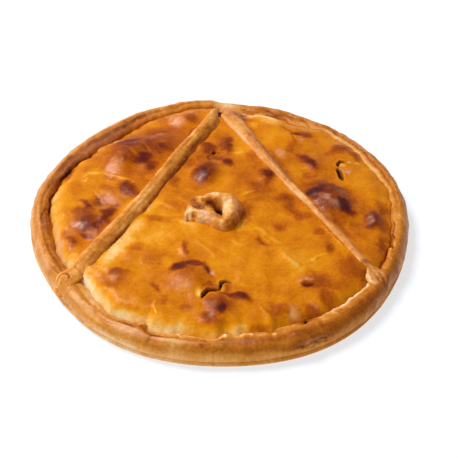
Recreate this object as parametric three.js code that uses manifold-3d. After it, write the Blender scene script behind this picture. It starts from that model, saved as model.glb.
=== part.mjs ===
// A large round empanada: a flat filled pie about 350 mm across, baked from two sheets of dough.
// The bottom sheet is turned up and folded over the top sheet's edge as a rolled rim. Two rolled strips lie
// on the top sheet as a V, and a short roll bent into a loop sits near the middle.
// Millimetres, +Z up. The origin is at the middle of the flat underside, and +Y points to the tip of the V.

import * as THREE from "three";
import { mergeVertices } from "three/addons/utils/BufferGeometryUtils.js";
import Module from "manifold-3d";

// Driving dimensions
const PIE_RADIUS = 175;
const RIM_WIDTH = 21.5;
const BASE_SHEET = 5; // thickness of the bottom sheet under the filling
const CREASE_HEIGHT = 17; // where the top sheet meets the foot of the rim
const SHOULDER_HEIGHT = 26.5; // the top sheet just inside its rounded edge
const SHOULDER_RUN = 15; // width of that rounded edge
const CROWN = 4.5; // how much higher the middle is than the shoulder
const GAP = 0.3; // between pieces that lie on each other
const AROUND = 156; // points round the rim, a multiple of six
const LID_RINGS = AROUND / 6;
const EDGE_CROWDING = 0.5; // how far the top sheet's rings crowd towards its edge, where it curves most

// The outline of a pie shaped by hand: lobes round it, how far they stand out, and where the first one is,
// in degrees.
const LOBES = [
  { count: 3, depth: 0.7, at: 35 },
  { count: 4, depth: 0.7, at: 15 },
  { count: 5, depth: 1.5, at: 27 },
  { count: 6, depth: 0.7, at: -2 },
];

// Where each fold of the rim starts, in degrees counter-clockwise from +X. A fold is thick at its start
// and thins out.
const FOLD_STARTS = [6, 30, 56, 92, 120, 148, 180, 217, 234, 249, 262, 276, 290, 312, 346];
const FOLD_REACH = 3.2; // how much further in the flap lies at the start of a fold
const FOLD_LIFT = 1.6; // how much higher the rim is there
const FOLD_STEP = 3; // degrees over which a fold starts

// The rim cut across, from the underside over the roll to the inner wall: distance in from the outline,
// and height.
const RIM_SECTION = [
  { inset: 3.0, z: 0.0 },
  { inset: 0.9, z: 0.6 },
  { inset: 0.0, z: 2.6 },
  { inset: 1.0, z: 4.8 },
  { inset: 0.2, z: 7.6 },
  { inset: 0.0, z: 11.0 },
  { inset: 1.0, z: 15.5 },
  { inset: 3.2, z: 19.8 },
  { inset: 6.4, z: 23.2 },
  { inset: 10.0, z: 24.8, roll: 1 },
  { inset: 13.4, z: 24.0, groove: 1, roll: 1 },
  { inset: 16.4, z: 24.2, roll: 1, flap: 0.6 },
  { inset: 19.4, z: 21.6, roll: 0.6, flap: 0.9 },
  { inset: RIM_WIDTH, z: CREASE_HEIGHT, flap: 1 },
];

// Stretches of the rim that differ from the rest: middle and half width in degrees.
const DEEP_CREASE = { at: 152, half: 30, drop: 4.5 }; // the flap has pulled away from the top sheet
const DEEP_GROOVE = { at: 205, half: 38, depth: 2.6 }; // the flap shows as a second roll
const LOW_EDGE = { at: 5, half: 55, drop: 3.5 }; // the top sheet lies low along the right
const LOW_CREST = { at: 80, half: 20, share: 0.16 }; // the rim is pressed lower beside the tip of the V
const GROOVE_DEPTH = 0.7;

// Air bubbles that lifted the top sheet: place, radius and height.
const BUBBLES = [
  { x: -80, y: 78, radius: 30, height: 4.2 },
  { x: -47, y: 128, radius: 17, height: 3.2 },
  { x: -106, y: 52, radius: 16, height: 2.6 },
  { x: -88, y: 20, radius: 14, height: 2.6 },
  { x: -114, y: -18, radius: 26, height: 3.4 },
  { x: -16, y: 46, radius: 17, height: 2.6 },
  { x: 42, y: 42, radius: 18, height: 2.0 },
  { x: 82, y: 60, radius: 16, height: 2.0 },
  { x: 100, y: 10, radius: 21, height: 4.4 },
  { x: 137, y: -15, radius: 14, height: 2.4 },
  { x: 60, y: 112, radius: 24, height: 2.2 },
  { x: 122, y: 52, radius: 14, height: 2.0 },
  { x: -30, y: -95, radius: 19, height: 3.6 },
  { x: 3, y: -129, radius: 17, height: 3.2 },
  { x: -88, y: -94, radius: 22, height: 2.2 },
  { x: 58, y: -118, radius: 26, height: 2.0 },
  { x: 76, y: -97, radius: 10, height: 1.6 },
  { x: 30, y: -62, radius: 28, height: 1.4 },
  { x: -32, y: -60, radius: 16, height: 1.2 },
];

// Splits that the steam opened, each a run of points, with their width at the surface.
const SPLITS = [
  { width: 4.6, points: [[-15, -118], [-10, -109], [-2, -107], [2, -100], [10, -99]] },
  { width: 4.2, points: [[113, 69], [108, 64], [110, 55], [111, 47], [114, 42]] },
  { width: 3.4, points: [[-7, 75], [-9, 68], [-13, 63]] },
  { width: 3.0, points: [[70, -97], [77, -99], [84, -100]] },
];
const SPLIT_DEPTH = 5;
const SPLIT_TAPER = 0.7; // how much narrower a split is at its ends

// The two strips, as points along the middle of each, with the width there.
const STRIP_HEIGHT = 8.5;
const STRIP_STEPS = 40;
const STRIP_SIDES = 12;
const LEFT_STRIP = [
  { x: -6, y: 150, width: 14 },
  { x: -13, y: 119, width: 14 },
  { x: -43, y: 60, width: 14 },
  { x: -71, y: 0, width: 14 },
  { x: -106, y: -60, width: 16 },
  { x: -126, y: -90, width: 18 },
  { x: -134, y: -99, width: 18 },
];
const RIGHT_STRIP = [
  { x: 1, y: 145, width: 12 },
  { x: 13, y: 118, width: 12 },
  { x: 45, y: 58, width: 11 },
  { x: 84, y: -1, width: 10 },
  { x: 112, y: -42, width: 10.5 },
  { x: 130, y: -69, width: 12 },
  { x: 141, y: -84, width: 16 },
];
const END_ROUND = 0.04; // share of a strip's length that rounds off at each end
const BLUNT_END = 0.35; // size of the blunt end face, as a share of the full section
const END_PRESSED = { share: 0.12, lower: 0.4 }; // share of the length pressed onto the rim, and how much

// The loop, as points along the middle of the roll, with its thickness there, from its thin tip round to its
// tail. The tail's end is spread wide and meets the tip.
const LOOP_STEPS = 40;
const LOOP_SIDES = 12;
const LOOP_RISE = 0.95; // height of the roll as a share of its thickness
const LOOP = [
  { x: -17, y: 2, thick: 6 },
  { x: -8, y: 3, thick: 11 },
  { x: 1, y: 2, thick: 13 },
  { x: 9, y: -2.5, thick: 13.5 },
  { x: 13, y: -12, thick: 13.5 },
  { x: 11, y: -23.5, thick: 13.5 },
  { x: 4, y: -30, thick: 13 },
  { x: -5, y: -27.5, thick: 12.5 },
  { x: -14, y: -22, thick: 13 },
  { x: -23, y: -17, thick: 14 },
];
const TAIL_STEPS = 12;
const TAIL_ROUND = 0.3; // share of the tail that rounds off at each end
const TAIL = [
  { x: -19, y: -20, thick: 13 },
  { x: -22, y: -10, thick: 17 },
  { x: -25.5, y: 1, thick: 13 },
];

const CRUST_COLOURS = { rim: 0xc07a2c, top: 0xd68a24, strip: 0xcf8d45, loop: 0xd39a58 };
const CRUST_ROUGHNESS = 0.45;

const FULL_TURN = 360;
const inRadians = THREE.MathUtils.degToRad;

// 1 at the middle of a stretch of the rim, falling smoothly to 0 beyond its half width.
function stretch(turn, { at, half }) {
  const away = Math.abs(((turn - at + 1.5 * FULL_TURN) % FULL_TURN) - FULL_TURN / 2);
  return Math.exp(-((away / half) ** 4));
}

function outlineRadius(turn) {
  const lobes = LOBES.map(({ count, depth, at }) => depth * Math.cos(inRadians(count * (turn - at))));
  return PIE_RADIUS + lobes.reduce((sum, lobe) => sum + lobe, 0);
}

// How thick the fold at this place still is: 1 where it has just started, 0 where the next one covers it.
function foldThickness(turn) {
  const place = (turn + FULL_TURN) % FULL_TURN;
  const next = FOLD_STARTS.findIndex((start) => start > place);
  const end = next < 0 ? FOLD_STARTS[0] + FULL_TURN : FOLD_STARTS[next];
  const start = FOLD_STARTS.at(next < 0 ? -1 : next - 1) - (next === 0 ? FULL_TURN : 0);
  const along = (place - start) / (end - start);
  return Math.min((place - start) / FOLD_STEP, 1) * (1 - along);
}

// Share of its height that the rim keeps.
function crestShare(turn) {
  return 1 - LOW_CREST.share * stretch(turn, LOW_CREST);
}

function flapReach(turn) {
  return FOLD_REACH * (foldThickness(turn) - 0.5);
}

function creaseRadius(turn) {
  return outlineRadius(turn) - RIM_WIDTH - flapReach(turn);
}

function creaseHeight(turn) {
  return CREASE_HEIGHT - DEEP_CREASE.drop * stretch(turn, DEEP_CREASE);
}

// A point at a turn in degrees, a radius and a height.
function polar(turn, radius, z) {
  const angle = inRadians(turn);
  return new THREE.Vector3(radius * Math.cos(angle), radius * Math.sin(angle), z);
}

function ringOf(points, place) {
  return Array.from({ length: points }, (_, i) => place((i * FULL_TURN) / points));
}

function geometryOf(vertices, triangles) {
  return new THREE.BufferGeometry().setFromPoints(vertices).setIndex(triangles);
}

// A closed skin over a run of rings of equal count, with a fan to the middle of the first and the last ring.
function skin(rings) {
  const count = rings[0].length;
  const vertices = rings.flat();
  const triangles = [];
  for (let row = 0; row + 1 < rings.length; row++) {
    for (let i = 0; i < count; i++) {
      const here = row * count + i;
      const beside = row * count + ((i + 1) % count);
      triangles.push(here, beside, here + count, beside, beside + count, here + count);
    }
  }
  for (const end of [0, rings.length - 1]) {
    const ring = rings[end];
    const middle = ring.reduce((sum, p) => sum.add(p), new THREE.Vector3()).divideScalar(count);
    vertices.push(middle);
    for (let i = 0; i < count; i++) {
      const here = end * count + i;
      const beside = end * count + ((i + 1) % count);
      triangles.push(vertices.length - 1, ...(end === 0 ? [beside, here] : [here, beside]));
    }
  }
  return geometryOf(vertices, triangles);
}

// Bottom sheet with its rolled rim, open at the top as a shallow tray
function bottomCrust() {
  const grooveDepth = (turn) => GROOVE_DEPTH + DEEP_GROOVE.depth * stretch(turn, DEEP_GROOVE);
  const rings = RIM_SECTION.map(({ inset, z, roll = 0, groove = 0, flap = 0 }, row) =>
    ringOf(AROUND, (turn) => {
      const lift = roll * FOLD_LIFT * (foldThickness(turn) - 0.5);
      const isCrease = row === RIM_SECTION.length - 1;
      const rolled = (z + lift - groove * grooveDepth(turn)) * crestShare(turn);
      const height = isCrease ? creaseHeight(turn) : rolled;
      return polar(turn, outlineRadius(turn) - inset - flap * flapReach(turn), height);
    }),
  );
  rings.push(ringOf(AROUND, (turn) => polar(turn, creaseRadius(turn), BASE_SHEET)));
  return skin(rings);
}

// Height of the top sheet: a rounded edge, a low crown, and the bubbles.
function lidHeight(x, y) {
  const turn = THREE.MathUtils.radToDeg(Math.atan2(y, x));
  const radius = Math.hypot(x, y);
  const edge = creaseRadius(turn);
  const fromEdge = Math.min(Math.max(edge - radius, 0) / SHOULDER_RUN, 1);
  const rounding = Math.sqrt(1 - (1 - fromEdge) ** 2);
  const shoulder = SHOULDER_HEIGHT - LOW_EDGE.drop * stretch(turn, LOW_EDGE);
  const foot = creaseHeight(turn) - GAP;
  const crown = (SHOULDER_HEIGHT + CROWN - shoulder) * (1 - (radius / edge) ** 2);
  const bubbles = BUBBLES.reduce((sum, bubble) => {
    const away = Math.hypot(x - bubble.x, y - bubble.y) / bubble.radius;
    return sum + bubble.height * Math.exp(-(away ** 2));
  }, 0);
  return foot + rounding * (shoulder - foot + crown + bubbles);
}

// Top sheet, solid down to the bottom sheet. Its surface has rings of 6, 12, 18 and so on points.
function topCrust() {
  const vertices = [new THREE.Vector3(0, 0, lidHeight(0, 0))];
  const firstOf = (ring) => (ring === 0 ? 0 : 1 + 3 * ring * (ring - 1));
  const at = (ring, i) => (ring === 0 ? 0 : firstOf(ring) + (i % (6 * ring)));
  const triangles = [];
  for (let ring = 1; ring <= LID_RINGS; ring++) {
    const even = ring / LID_RINGS;
    const share = THREE.MathUtils.lerp(even, Math.sin((even * Math.PI) / 2), EDGE_CROWDING);
    ringOf(6 * ring, (turn) => {
      const point = polar(turn, share * (creaseRadius(turn) - GAP), 0);
      vertices.push(point.setZ(lidHeight(point.x, point.y)));
    });
    for (let side = 0; side < 6; side++) {
      for (let i = 0; i < ring; i++) {
        const outer = side * ring + i;
        const inner = side * (ring - 1) + i;
        triangles.push(at(ring - 1, inner), at(ring, outer), at(ring, outer + 1));
        if (i + 1 < ring) {
          triangles.push(at(ring - 1, inner), at(ring, outer + 1), at(ring - 1, inner + 1));
        }
      }
    }
  }
  const rim = firstOf(LID_RINGS);
  const foot = vertices.length;
  ringOf(AROUND, (turn) => vertices.push(polar(turn, creaseRadius(turn) - GAP, BASE_SHEET + GAP)));
  const middle = vertices.push(new THREE.Vector3(0, 0, BASE_SHEET + GAP)) - 1;
  for (let i = 0; i < AROUND; i++) {
    const next = (i + 1) % AROUND;
    triangles.push(rim + i, foot + i, rim + next, rim + next, foot + i, foot + next);
    triangles.push(middle, foot + next, foot + i);
  }
  return geometryOf(vertices, triangles);
}

// A roll of dough carried along a run of points. sizeAt gives the half width and the height above the surface
// at a share of its length, and sink is how far it reaches below, to be cut off by what it lies on.
function roll(points, steps, sides, sizeAt, surfaceAt, sink) {
  const flat = points.map(({ x, y }) => new THREE.Vector3(x, y, 0));
  const path = new THREE.CatmullRomCurve3(flat, false, "centripetal");
  const rings = [];
  for (let step = 0; step <= steps; step++) {
    const along = step / steps;
    const middle = path.getPoint(along);
    const heading = path.getTangent(along);
    const aside = new THREE.Vector3(-heading.y, heading.x, 0);
    const { half, height } = sizeAt(along);
    const base = surfaceAt(middle.x, middle.y);
    rings.push(
      ringOf(sides, (turn) => {
        const up = Math.sin(inRadians(turn));
        const reach = half * Math.cos(inRadians(turn));
        const z = base + (up > 0 ? height * up : sink * up);
        return middle.clone().addScaledVector(aside, reach).setZ(z);
      }),
    );
  }
  return skin(rings);
}

// The value named key, a share of the way along a run of points.
function valueAlong(points, key, along) {
  const place = along * (points.length - 1);
  const before = Math.min(Math.floor(place), points.length - 2);
  return THREE.MathUtils.lerp(points[before][key], points[before + 1][key], place - before);
}

// Falls from 1 to a blunt end over the first and the last part of a length.
function bluntEnds(along, share) {
  const fromEnd = Math.min(along, 1 - along, share) / share;
  return THREE.MathUtils.lerp(BLUNT_END, 1, Math.sqrt(1 - (1 - fromEnd) ** 2));
}

// Height of the pie's surface, rim and top sheet together.
function pieHeight(x, y) {
  const turn = THREE.MathUtils.radToDeg(Math.atan2(y, x));
  const beyond = Math.hypot(x, y) - creaseRadius(turn) + SHOULDER_RUN;
  const crest = RIM_SECTION.find(({ roll }) => roll === 1).z;
  const ontoRim = THREE.MathUtils.smoothstep(beyond, 0, SHOULDER_RUN);
  return THREE.MathUtils.lerp(lidHeight(x, y), crest * crestShare(turn), ontoRim);
}

function strip(points, margin = 0) {
  const sizeAt = (along) => {
    const pressed = 1 - THREE.MathUtils.smoothstep(Math.min(along, 1 - along), 0, END_PRESSED.share);
    const height = STRIP_HEIGHT * (1 - END_PRESSED.lower * pressed);
    return {
      half: (valueAlong(points, "width", along) / 2) * bluntEnds(along, END_ROUND) + margin,
      height: height * bluntEnds(along, END_ROUND) + margin,
    };
  };
  return roll(points, STRIP_STEPS, STRIP_SIDES, sizeAt, pieHeight, STRIP_HEIGHT / 2);
}

function loopRoll(points, steps, endShare) {
  const sizeAt = (along) => {
    const thick = valueAlong(points, "thick", along) * bluntEnds(along, endShare);
    return { half: thick / 2, height: LOOP_RISE * thick };
  };
  return roll(points, steps, LOOP_SIDES, sizeAt, lidHeight, STRIP_HEIGHT / 2);
}

// A wedge along a split, to be taken out of the top sheet. It stands as far above the surface as it cuts
// below it, so its top is twice as wide as the split.
function splitWedge({ width, points }) {
  const middle = (points.length - 1) / 2;
  const rings = points.map(([x, y], i) => {
    const [x0, y0] = points[Math.max(i - 1, 0)];
    const [x1, y1] = points[Math.min(i + 1, points.length - 1)];
    const aside = new THREE.Vector2(y0 - y1, x1 - x0).normalize();
    const half = (width / 2) * (1 - SPLIT_TAPER * (Math.abs(i - middle) / middle) ** 2);
    const surface = lidHeight(x, y);
    return [
      new THREE.Vector3(x, y, surface - SPLIT_DEPTH),
      new THREE.Vector3(x + 2 * half * aside.x, y + 2 * half * aside.y, surface + SPLIT_DEPTH),
      new THREE.Vector3(x - 2 * half * aside.x, y - 2 * half * aside.y, surface + SPLIT_DEPTH),
    ];
  });
  return skin(rings);
}

// Solids are joined and cut as manifolds, and go back to geometries for drawing.
const wasm = await Module();
wasm.setup();

function solidOf(geometry) {
  const merged = mergeVertices(geometry);
  const vertProperties = new Float32Array(merged.attributes.position.array);
  const triVerts = new Uint32Array(merged.index.array);
  return new wasm.Manifold(new wasm.Mesh({ numProp: 3, vertProperties, triVerts }));
}

function geometryFrom(solid) {
  const { vertProperties, triVerts } = solid.getMesh();
  const geometry = new THREE.BufferGeometry();
  geometry.setAttribute("position", new THREE.BufferAttribute(vertProperties, 3));
  return geometry.setIndex(new THREE.BufferAttribute(triVerts, 1));
}

const raised = (solid) => solid.translate([0, 0, GAP]);

const rimSolid = solidOf(bottomCrust());
const lidSolid = SPLITS.reduce((lid, split) => lid.subtract(solidOf(splitWedge(split))), solidOf(topCrust()));
const restOnPie = (solid) => solid.subtract(raised(lidSolid)).subtract(raised(rimSolid));
const largest = (solid) => solid.decompose().sort((a, b) => b.volume() - a.volume())[0];

const leftSolid = largest(restOnPie(solidOf(strip(LEFT_STRIP))));
const roomForLeft = solidOf(strip(LEFT_STRIP, GAP));
const rightSolid = largest(restOnPie(solidOf(strip(RIGHT_STRIP))).subtract(roomForLeft));
const ring = solidOf(loopRoll(LOOP, LOOP_STEPS, 2 * END_ROUND));
const tail = solidOf(loopRoll(TAIL, TAIL_STEPS, TAIL_ROUND));
const loopSolid = largest(restOnPie(ring.add(tail)));

function piece(name, solid, color) {
  const material = new THREE.MeshStandardMaterial({ color, roughness: CRUST_ROUGHNESS, metalness: 0 });
  const geometry = geometryFrom(solid);
  geometry.computeVertexNormals();
  const mesh = new THREE.Mesh(geometry, material);
  mesh.name = name;
  return mesh;
}

const empanada = new THREE.Group();
empanada.add(
  piece("bottom_crust", rimSolid, CRUST_COLOURS.rim),
  piece("top_crust", lidSolid, CRUST_COLOURS.top),
  piece("strip_left", leftSolid, CRUST_COLOURS.strip),
  piece("strip_right", rightSolid, CRUST_COLOURS.strip),
  piece("dough_loop", loopSolid, CRUST_COLOURS.loop),
);

export default empanada;
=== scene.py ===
import math

import bpy
import numpy as np
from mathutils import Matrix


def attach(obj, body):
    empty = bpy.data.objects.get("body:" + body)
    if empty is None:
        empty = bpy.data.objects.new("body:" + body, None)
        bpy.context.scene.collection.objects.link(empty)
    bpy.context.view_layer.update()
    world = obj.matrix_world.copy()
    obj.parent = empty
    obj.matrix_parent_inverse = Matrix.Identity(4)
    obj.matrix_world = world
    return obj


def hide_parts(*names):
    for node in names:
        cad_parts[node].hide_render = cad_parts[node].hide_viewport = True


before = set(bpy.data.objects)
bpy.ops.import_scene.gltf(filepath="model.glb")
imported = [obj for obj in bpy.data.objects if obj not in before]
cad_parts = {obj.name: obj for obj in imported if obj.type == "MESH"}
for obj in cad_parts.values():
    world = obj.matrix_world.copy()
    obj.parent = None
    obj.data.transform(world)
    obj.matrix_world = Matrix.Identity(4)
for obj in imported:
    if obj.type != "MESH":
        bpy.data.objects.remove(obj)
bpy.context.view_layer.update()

# Bottom crust: the lower sheet of bread dough, as wide as the pie. Its edge is turned up and folded over the
# top sheet by hand in short turns, so the rim is a soft uneven roll, 21 mm wide and 25 mm high.
MM = 0.001
PIE_RADIUS = 175
RIM_LOBES = [(3, 0.7, 35), (4, 0.7, 15), (5, 1.5, 27), (6, 0.7, -2)]
RIM_COLUMNS = 1200
RIM_ROWS = 76
RIM_SEAM = -20
BASE_SHEET = 5
# Rings of points under the pie and on the base sheet, as shares of the radius. Between them the rim goes down
# under the top sheet, at two gaps from the crease and by way of one height.
UNDER_RINGS = (0.3, 0.65, 0.9)
SHEET_RINGS = (0.6, 0.3)
TUCK_GAPS = (0.4, 0.8)
TUCK_HEIGHT = 11
# How much the point before the crease follows the crease's height.
CREASE_PULL = 0.35
# The section of the rim from the floor, up the outside and over to the crease: inset from the outline,
# height, and how much the point follows the reach of the fold, the fold's height and the groove between its
# two rolls.
RIM_SECTION = np.array([
    (4.0, 0.0, 0.0, 0.0, 0.0),
    (1.9, 0.5, 0.0, 0.0, 0.0),
    (1.0, 2.4, 0.0, 0.0, 0.0),
    (2.3, 4.5, 0.0, 0.0, 0.0),
    (1.3, 6.9, 0.0, 0.0, 0.0),
    (1.0, 11.0, 0.0, 0.1, 0.0),
    (2.0, 15.5, 0.0, 0.3, 0.0),
    (4.0, 19.6, 0.05, 0.6, 0.0),
    (7.0, 22.8, 0.15, 0.9, 0.0),
    (10.3, 24.3, 0.3, 1.0, 0.1),
    (13.4, 24.2, 0.52, 1.0, 1.0),
    (16.4, 23.6, 0.75, 1.0, 0.5),
    (19.4, 21.4, 0.93, 0.7, 0.3),
    (21.5, 17.0, 1.0, 0.0, 0.0),
])
# How far in from the outline the folded edge reaches, at turns counted against the clock from the right.
FOLD_REACH = [
    (0, 18), (8, 17), (14, 16), (20, 18.5), (30, 19.5), (36, 16), (44, 17), (52, 15), (57, 20), (62, 23),
    (68, 20.5), (76, 19), (80, 24), (86, 22), (93, 18), (101, 17), (107, 20), (112, 21), (117, 21),
    (121, 22.5), (125, 24), (130, 25.5), (135, 26.5), (138, 26), (141, 24), (143, 22.5), (146, 25),
    (149, 25), (153, 21.5), (160, 21), (168, 20.5), (176, 19), (181, 20), (188, 21), (195, 19.3),
    (203, 16.5), (210, 18), (221, 21), (228, 18), (235.5, 15), (239, 17), (246, 21.5), (249, 16.4),
    (254, 17), (260, 19), (265, 17.5), (268.5, 16.5), (272.5, 22), (275, 20), (279, 22.5), (285, 21),
    (287, 19.4), (290, 23), (297, 23), (306, 21.2), (315, 19.5), (326, 17), (335, 16), (347, 15.5),
    (354, 17)]
FOLD_WAVES = [(41, 0.35, 20), (67, 0.3, 130), (103, 0.25, 250)]
# The rise of the crest over its usual height, the depth of the groove, and the height of the crease.
CREST_RISE = [
    (0, -0.8), (25, -1.2), (42, -1.6), (48, -2.2), (58, -2.6), (64, -1.6), (70, -0.6), (76, -2.0),
    (84, -4.2), (91, -2.2), (96, -0.2), (103, -0.6), (112, -1.4), (125, -0.8), (140, -0.4), (165, -0.6),
    (178, 0), (183, -1.4), (200, -1.2), (212, -2.2), (222, -2.6), (232, -2.2), (237, -3.2), (245, -1.8),
    (250, -3.4), (262, -2.6), (271, -2.2), (276, -3.2), (283, -2.4), (290, -2.8), (310, -2.4), (330, -2.4),
    (345, -1.2)]
GROOVE = [
    (0, 0.2), (10, 0.9), (50, 0.8), (60, 1.4), (90, 1.0), (112, 1.6), (122, 2.6), (130, 3.2), (138, 3),
    (150, 2.4), (160, 1.8), (172, 1.2), (183, 1.4), (212, 1.2), (222, 0.9), (246, 0.6), (252, 1.2),
    (300, 0.2), (330, 0.2)]
CREASE_HEIGHT = [
    (0, 20), (30, 20.4), (56, 19.8), (66, 18), (79, 18.6), (84, 16.5), (92, 18), (100, 17), (125, 16),
    (138, 15.6), (150, 16.4), (170, 16.2), (184, 16), (215, 16.5), (235, 17.4), (262, 18.6), (290, 19.6),
    (320, 20.4), (330, 19.6), (337, 17.4), (350, 17.6), (356, 19.4)]
# How much darker the crease is than the roll, partly browning and partly painted shade in the crease, or
# paler where the edge of the dough shows.
CREASE_TONE = [
    (0, 0.06), (12, 0.1), (22, 0.04), (30, -0.08), (55, -0.1), (64, 0.08), (72, 0.1), (79, -0.2),
    (84, 0.12), (92, 0), (104, 0.14), (125, 0.12), (135, 0.06), (140, 0), (144, 0.1), (148, 0.3),
    (152, 0.18), (163, 0.2), (170, 0.2), (180, 0.2), (195, 0.1), (205, 0.05), (228, 0), (245, -0.2),
    (262, -0.24), (293, -0.2), (299, 0.06), (304, -0.2), (315, -0.4), (326, -0.42), (332, 0.1), (338, 0.36),
    (350, 0.3), (357, 0.1)]
# Length of the section, size of the stretch marks over the roll, and lines pressed into the rim or standing
# on it: half width in mm, height, browning, and the points that they pass, each a turn and a share of the
# section from the floor to the crease.
SECTION_LENGTH = 48
STREAK_WIDTH = 2.4
STREAK_LENGTH = 18
RIM_LINES = [
    (1.1, -0.8, 0.12, [(8, 0.79), (22, 0.78), (38, 0.79), (52, 0.75)]),
    (1.0, -1.6, 0.3, [(359, 0.97), (355, 0.9), (352, 0.96)]),
    (1.0, -1.4, 0.3, [(352, 0.96), (350, 0.89), (348, 0.95)]),
    (1.2, -2.2, 0.34, [(347, 0.99), (345, 0.86), (344, 0.76)]),
    (0.9, -1.0, 0.2, [(346, 0.86), (343, 0.82)]), (1.3, -1.2, 0.22, [(56, 0.98), (58, 0.84), (62, 0.72)]),
    (1.2, -1.0, 0.2, [(69, 0.98), (71, 0.84), (76, 0.76)]),
    (1.0, -0.8, 0.16, [(44, 0.96), (46, 0.82), (50, 0.74)]),
    (1.2, -0.7, 0.1, [(101, 0.76), (110, 0.8), (122, 0.77), (134, 0.8), (146, 0.77)]),
    (1.0, -0.8, 0.16, [(112, 0.66), (126, 0.7), (138, 0.67), (150, 0.7)]),
    (1.2, -0.8, 0.1, [(140, 0.84), (152, 0.8), (166, 0.8), (178, 0.77)]),
    (1.3, -1.0, 0.12, [(180, 1.0), (180.5, 0.88), (183, 0.78), (187, 0.74)]),
    (1.0, -0.7, 0.14, [(156, 0.62), (172, 0.66), (188, 0.62)]),
    (1.3, -1.4, 0.24, [(234.5, 1.0), (236, 0.88), (240, 0.8), (245, 0.76)]),
    (1.4, -1.3, 0.2, [(247.5, 1.0), (248.5, 0.88), (252, 0.8), (257, 0.76)]),
    (1.1, -1.0, 0.2, [(261, 1.0), (263, 0.86), (267, 0.8)]),
    (1.1, -1.2, 0.22, [(270, 1.0), (270.5, 0.86), (273, 0.78)]),
    (1.0, -0.9, 0.18, [(276.5, 1.0), (277, 0.84)]),
    (1.0, -0.9, 0.18, [(286, 1.0), (287, 0.84), (289, 0.78)]),
    (2.2, -3.0, 0.55, [(297.8, 0.95), (299.6, 0.95)]),
    (0.7, -0.6, 0.2, [(290, 0.41), (293, 0.45), (296, 0.43)]),
    (0.7, -0.6, 0.22, [(293, 0.5), (294.5, 0.44), (294, 0.39)]),
    (0.7, -0.6, 0.22, [(297, 0.5), (298.5, 0.44), (300, 0.38)]),
    (1.1, -0.7, 0.1, [(190, 0.64), (206, 0.6), (222, 0.64)]),
    (1.0, -0.5, 0.08, [(226, 0.58), (244, 0.62), (262, 0.57)]),
    (1.8, 0.7, -0.14, [(303.5, 1.0), (304.5, 0.82), (306, 0.68)]),
    (1.6, 0.6, -0.16, [(308, 1.0), (309, 0.84), (309.5, 0.74)]),
    (1.8, 0.7, -0.14, [(313, 1.0), (314, 0.8), (315, 0.66)]), (1.4, -0.7, 0.16, [(306, 0.98), (307, 0.8)]),
    (1.4, -0.7, 0.16, [(311, 0.98), (311.5, 0.8)]), (1.4, -0.6, 0.14, [(318, 0.96), (319, 0.7)]),
    (1.4, -0.6, 0.14, [(322.5, 0.96), (323.5, 0.74)]),
    (1.6, 0.6, -0.16, [(336, 0.98), (335, 0.8), (335, 0.7)]),
    (1.6, 0.7, -0.2, [(344, 0.9), (343.6, 0.78), (344, 0.68)]),
    (1.4, -0.7, 0.16, [(347, 0.8), (347.5, 0.68)]), (1.7, 0.7, -0.36, [(280.5, 1.0), (281, 0.86)]),
    (1.8, 0.8, -0.44, [(272, 1.0), (272.5, 0.84)]),
    (1.9, 0.5, -0.28, [(257, 1.0), (258.5, 0.9), (259, 0.83)]),
    (1.7, 0.7, -0.4, [(287, 0.98), (288, 0.78)]), (1.3, -0.6, 0.14, [(266, 0.98), (267, 0.7)]),
    (1.3, -0.6, 0.14, [(258, 0.94), (259, 0.76)]), (2.2, 0.7, -0.32, [(247, 0.98), (245, 0.8)]),
    (1.4, -0.8, 0.18, [(250, 0.84), (250.5, 0.64)]),
    (0.7, -0.5, 0.2, [(300, 0.48), (302, 0.44), (301.5, 0.38)]),
    (0.7, -0.5, 0.2, [(295, 0.38), (299, 0.4), (304, 0.38)]),
    (0.8, 0.5, -0.22, [(294, 0.47), (297, 0.51), (301, 0.5)]), (0.7, 0.4, -0.2, [(296, 0.42), (298, 0.46)]),
    # The three jagged lines along the crease at the back-left are browned as painted shade in the crease.
    (0.9, -0.6, 0.1, [(112, 0.98), (118, 0.965), (124, 0.985), (130, 0.96), (135, 0.98), (139, 0.955)]),
    (1.1, -1.2, 0.36, [(147, 0.98), (152, 0.96), (157, 0.985), (162, 0.955), (166, 0.98)]),
    (1.0, -1.0, 0.34, [(168, 0.985), (173, 0.965), (178, 0.98), (184, 0.96)]),
    (5, 1.6, -0.02, [(234, 0.55), (241, 0.58), (249, 0.58)]),
    (4.5, 1.5, -0.04, [(251, 0.6), (257, 0.62), (264, 0.61)]),
    (4, 1.3, -0.02, [(216, 0.6), (222, 0.58), (229, 0.55)]),
    (3.5, 1.2, -0.04, [(190, 0.63), (195, 0.61), (200, 0.6)]),
    (3.5, 1.2, -0.04, [(201, 0.62), (205, 0.6), (210, 0.57)]),
    (3.5, 1.0, -0.04, [(177, 0.6), (183, 0.6), (189, 0.58)]), (2.5, -1.0, 0.18, [(250, 0.66), (250, 0.5)]),
    (2.5, -1.0, 0.16, [(231, 0.68), (231.5, 0.5)]), (2.2, -0.9, 0.16, [(265, 0.68), (266, 0.54)]),
    (2.2, -0.8, 0.14, [(200.5, 0.7), (200.5, 0.54)])]


def eased(turn, stops):
    """Value at each turn in degrees, going from one stop to the next by the curve 3t^2 - 2t^3."""
    at = np.array([stops[-1][0] - 360] + [stop[0] for stop in stops] + [stops[0][0] + 360], float)
    value = np.array([stops[-1][1]] + [stop[1] for stop in stops] + [stops[0][1]], float)
    turn = np.mod(turn, 360)
    after = np.clip(np.searchsorted(at, turn, side="right"), 1, len(at) - 1)
    t = (turn - at[after - 1]) / (at[after] - at[after - 1])
    return value[after - 1] + (value[after] - value[after - 1]) * t * t * (3 - 2 * t)


def fold_edge(turn):
    """How far in the folded edge reaches: the stops above and three short waves, as torn dough has."""
    ragged = sum(size * np.sin(np.radians(waves * turn + shift)) for waves, size, shift in FOLD_WAVES)
    return eased(turn, FOLD_REACH) + ragged


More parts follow.
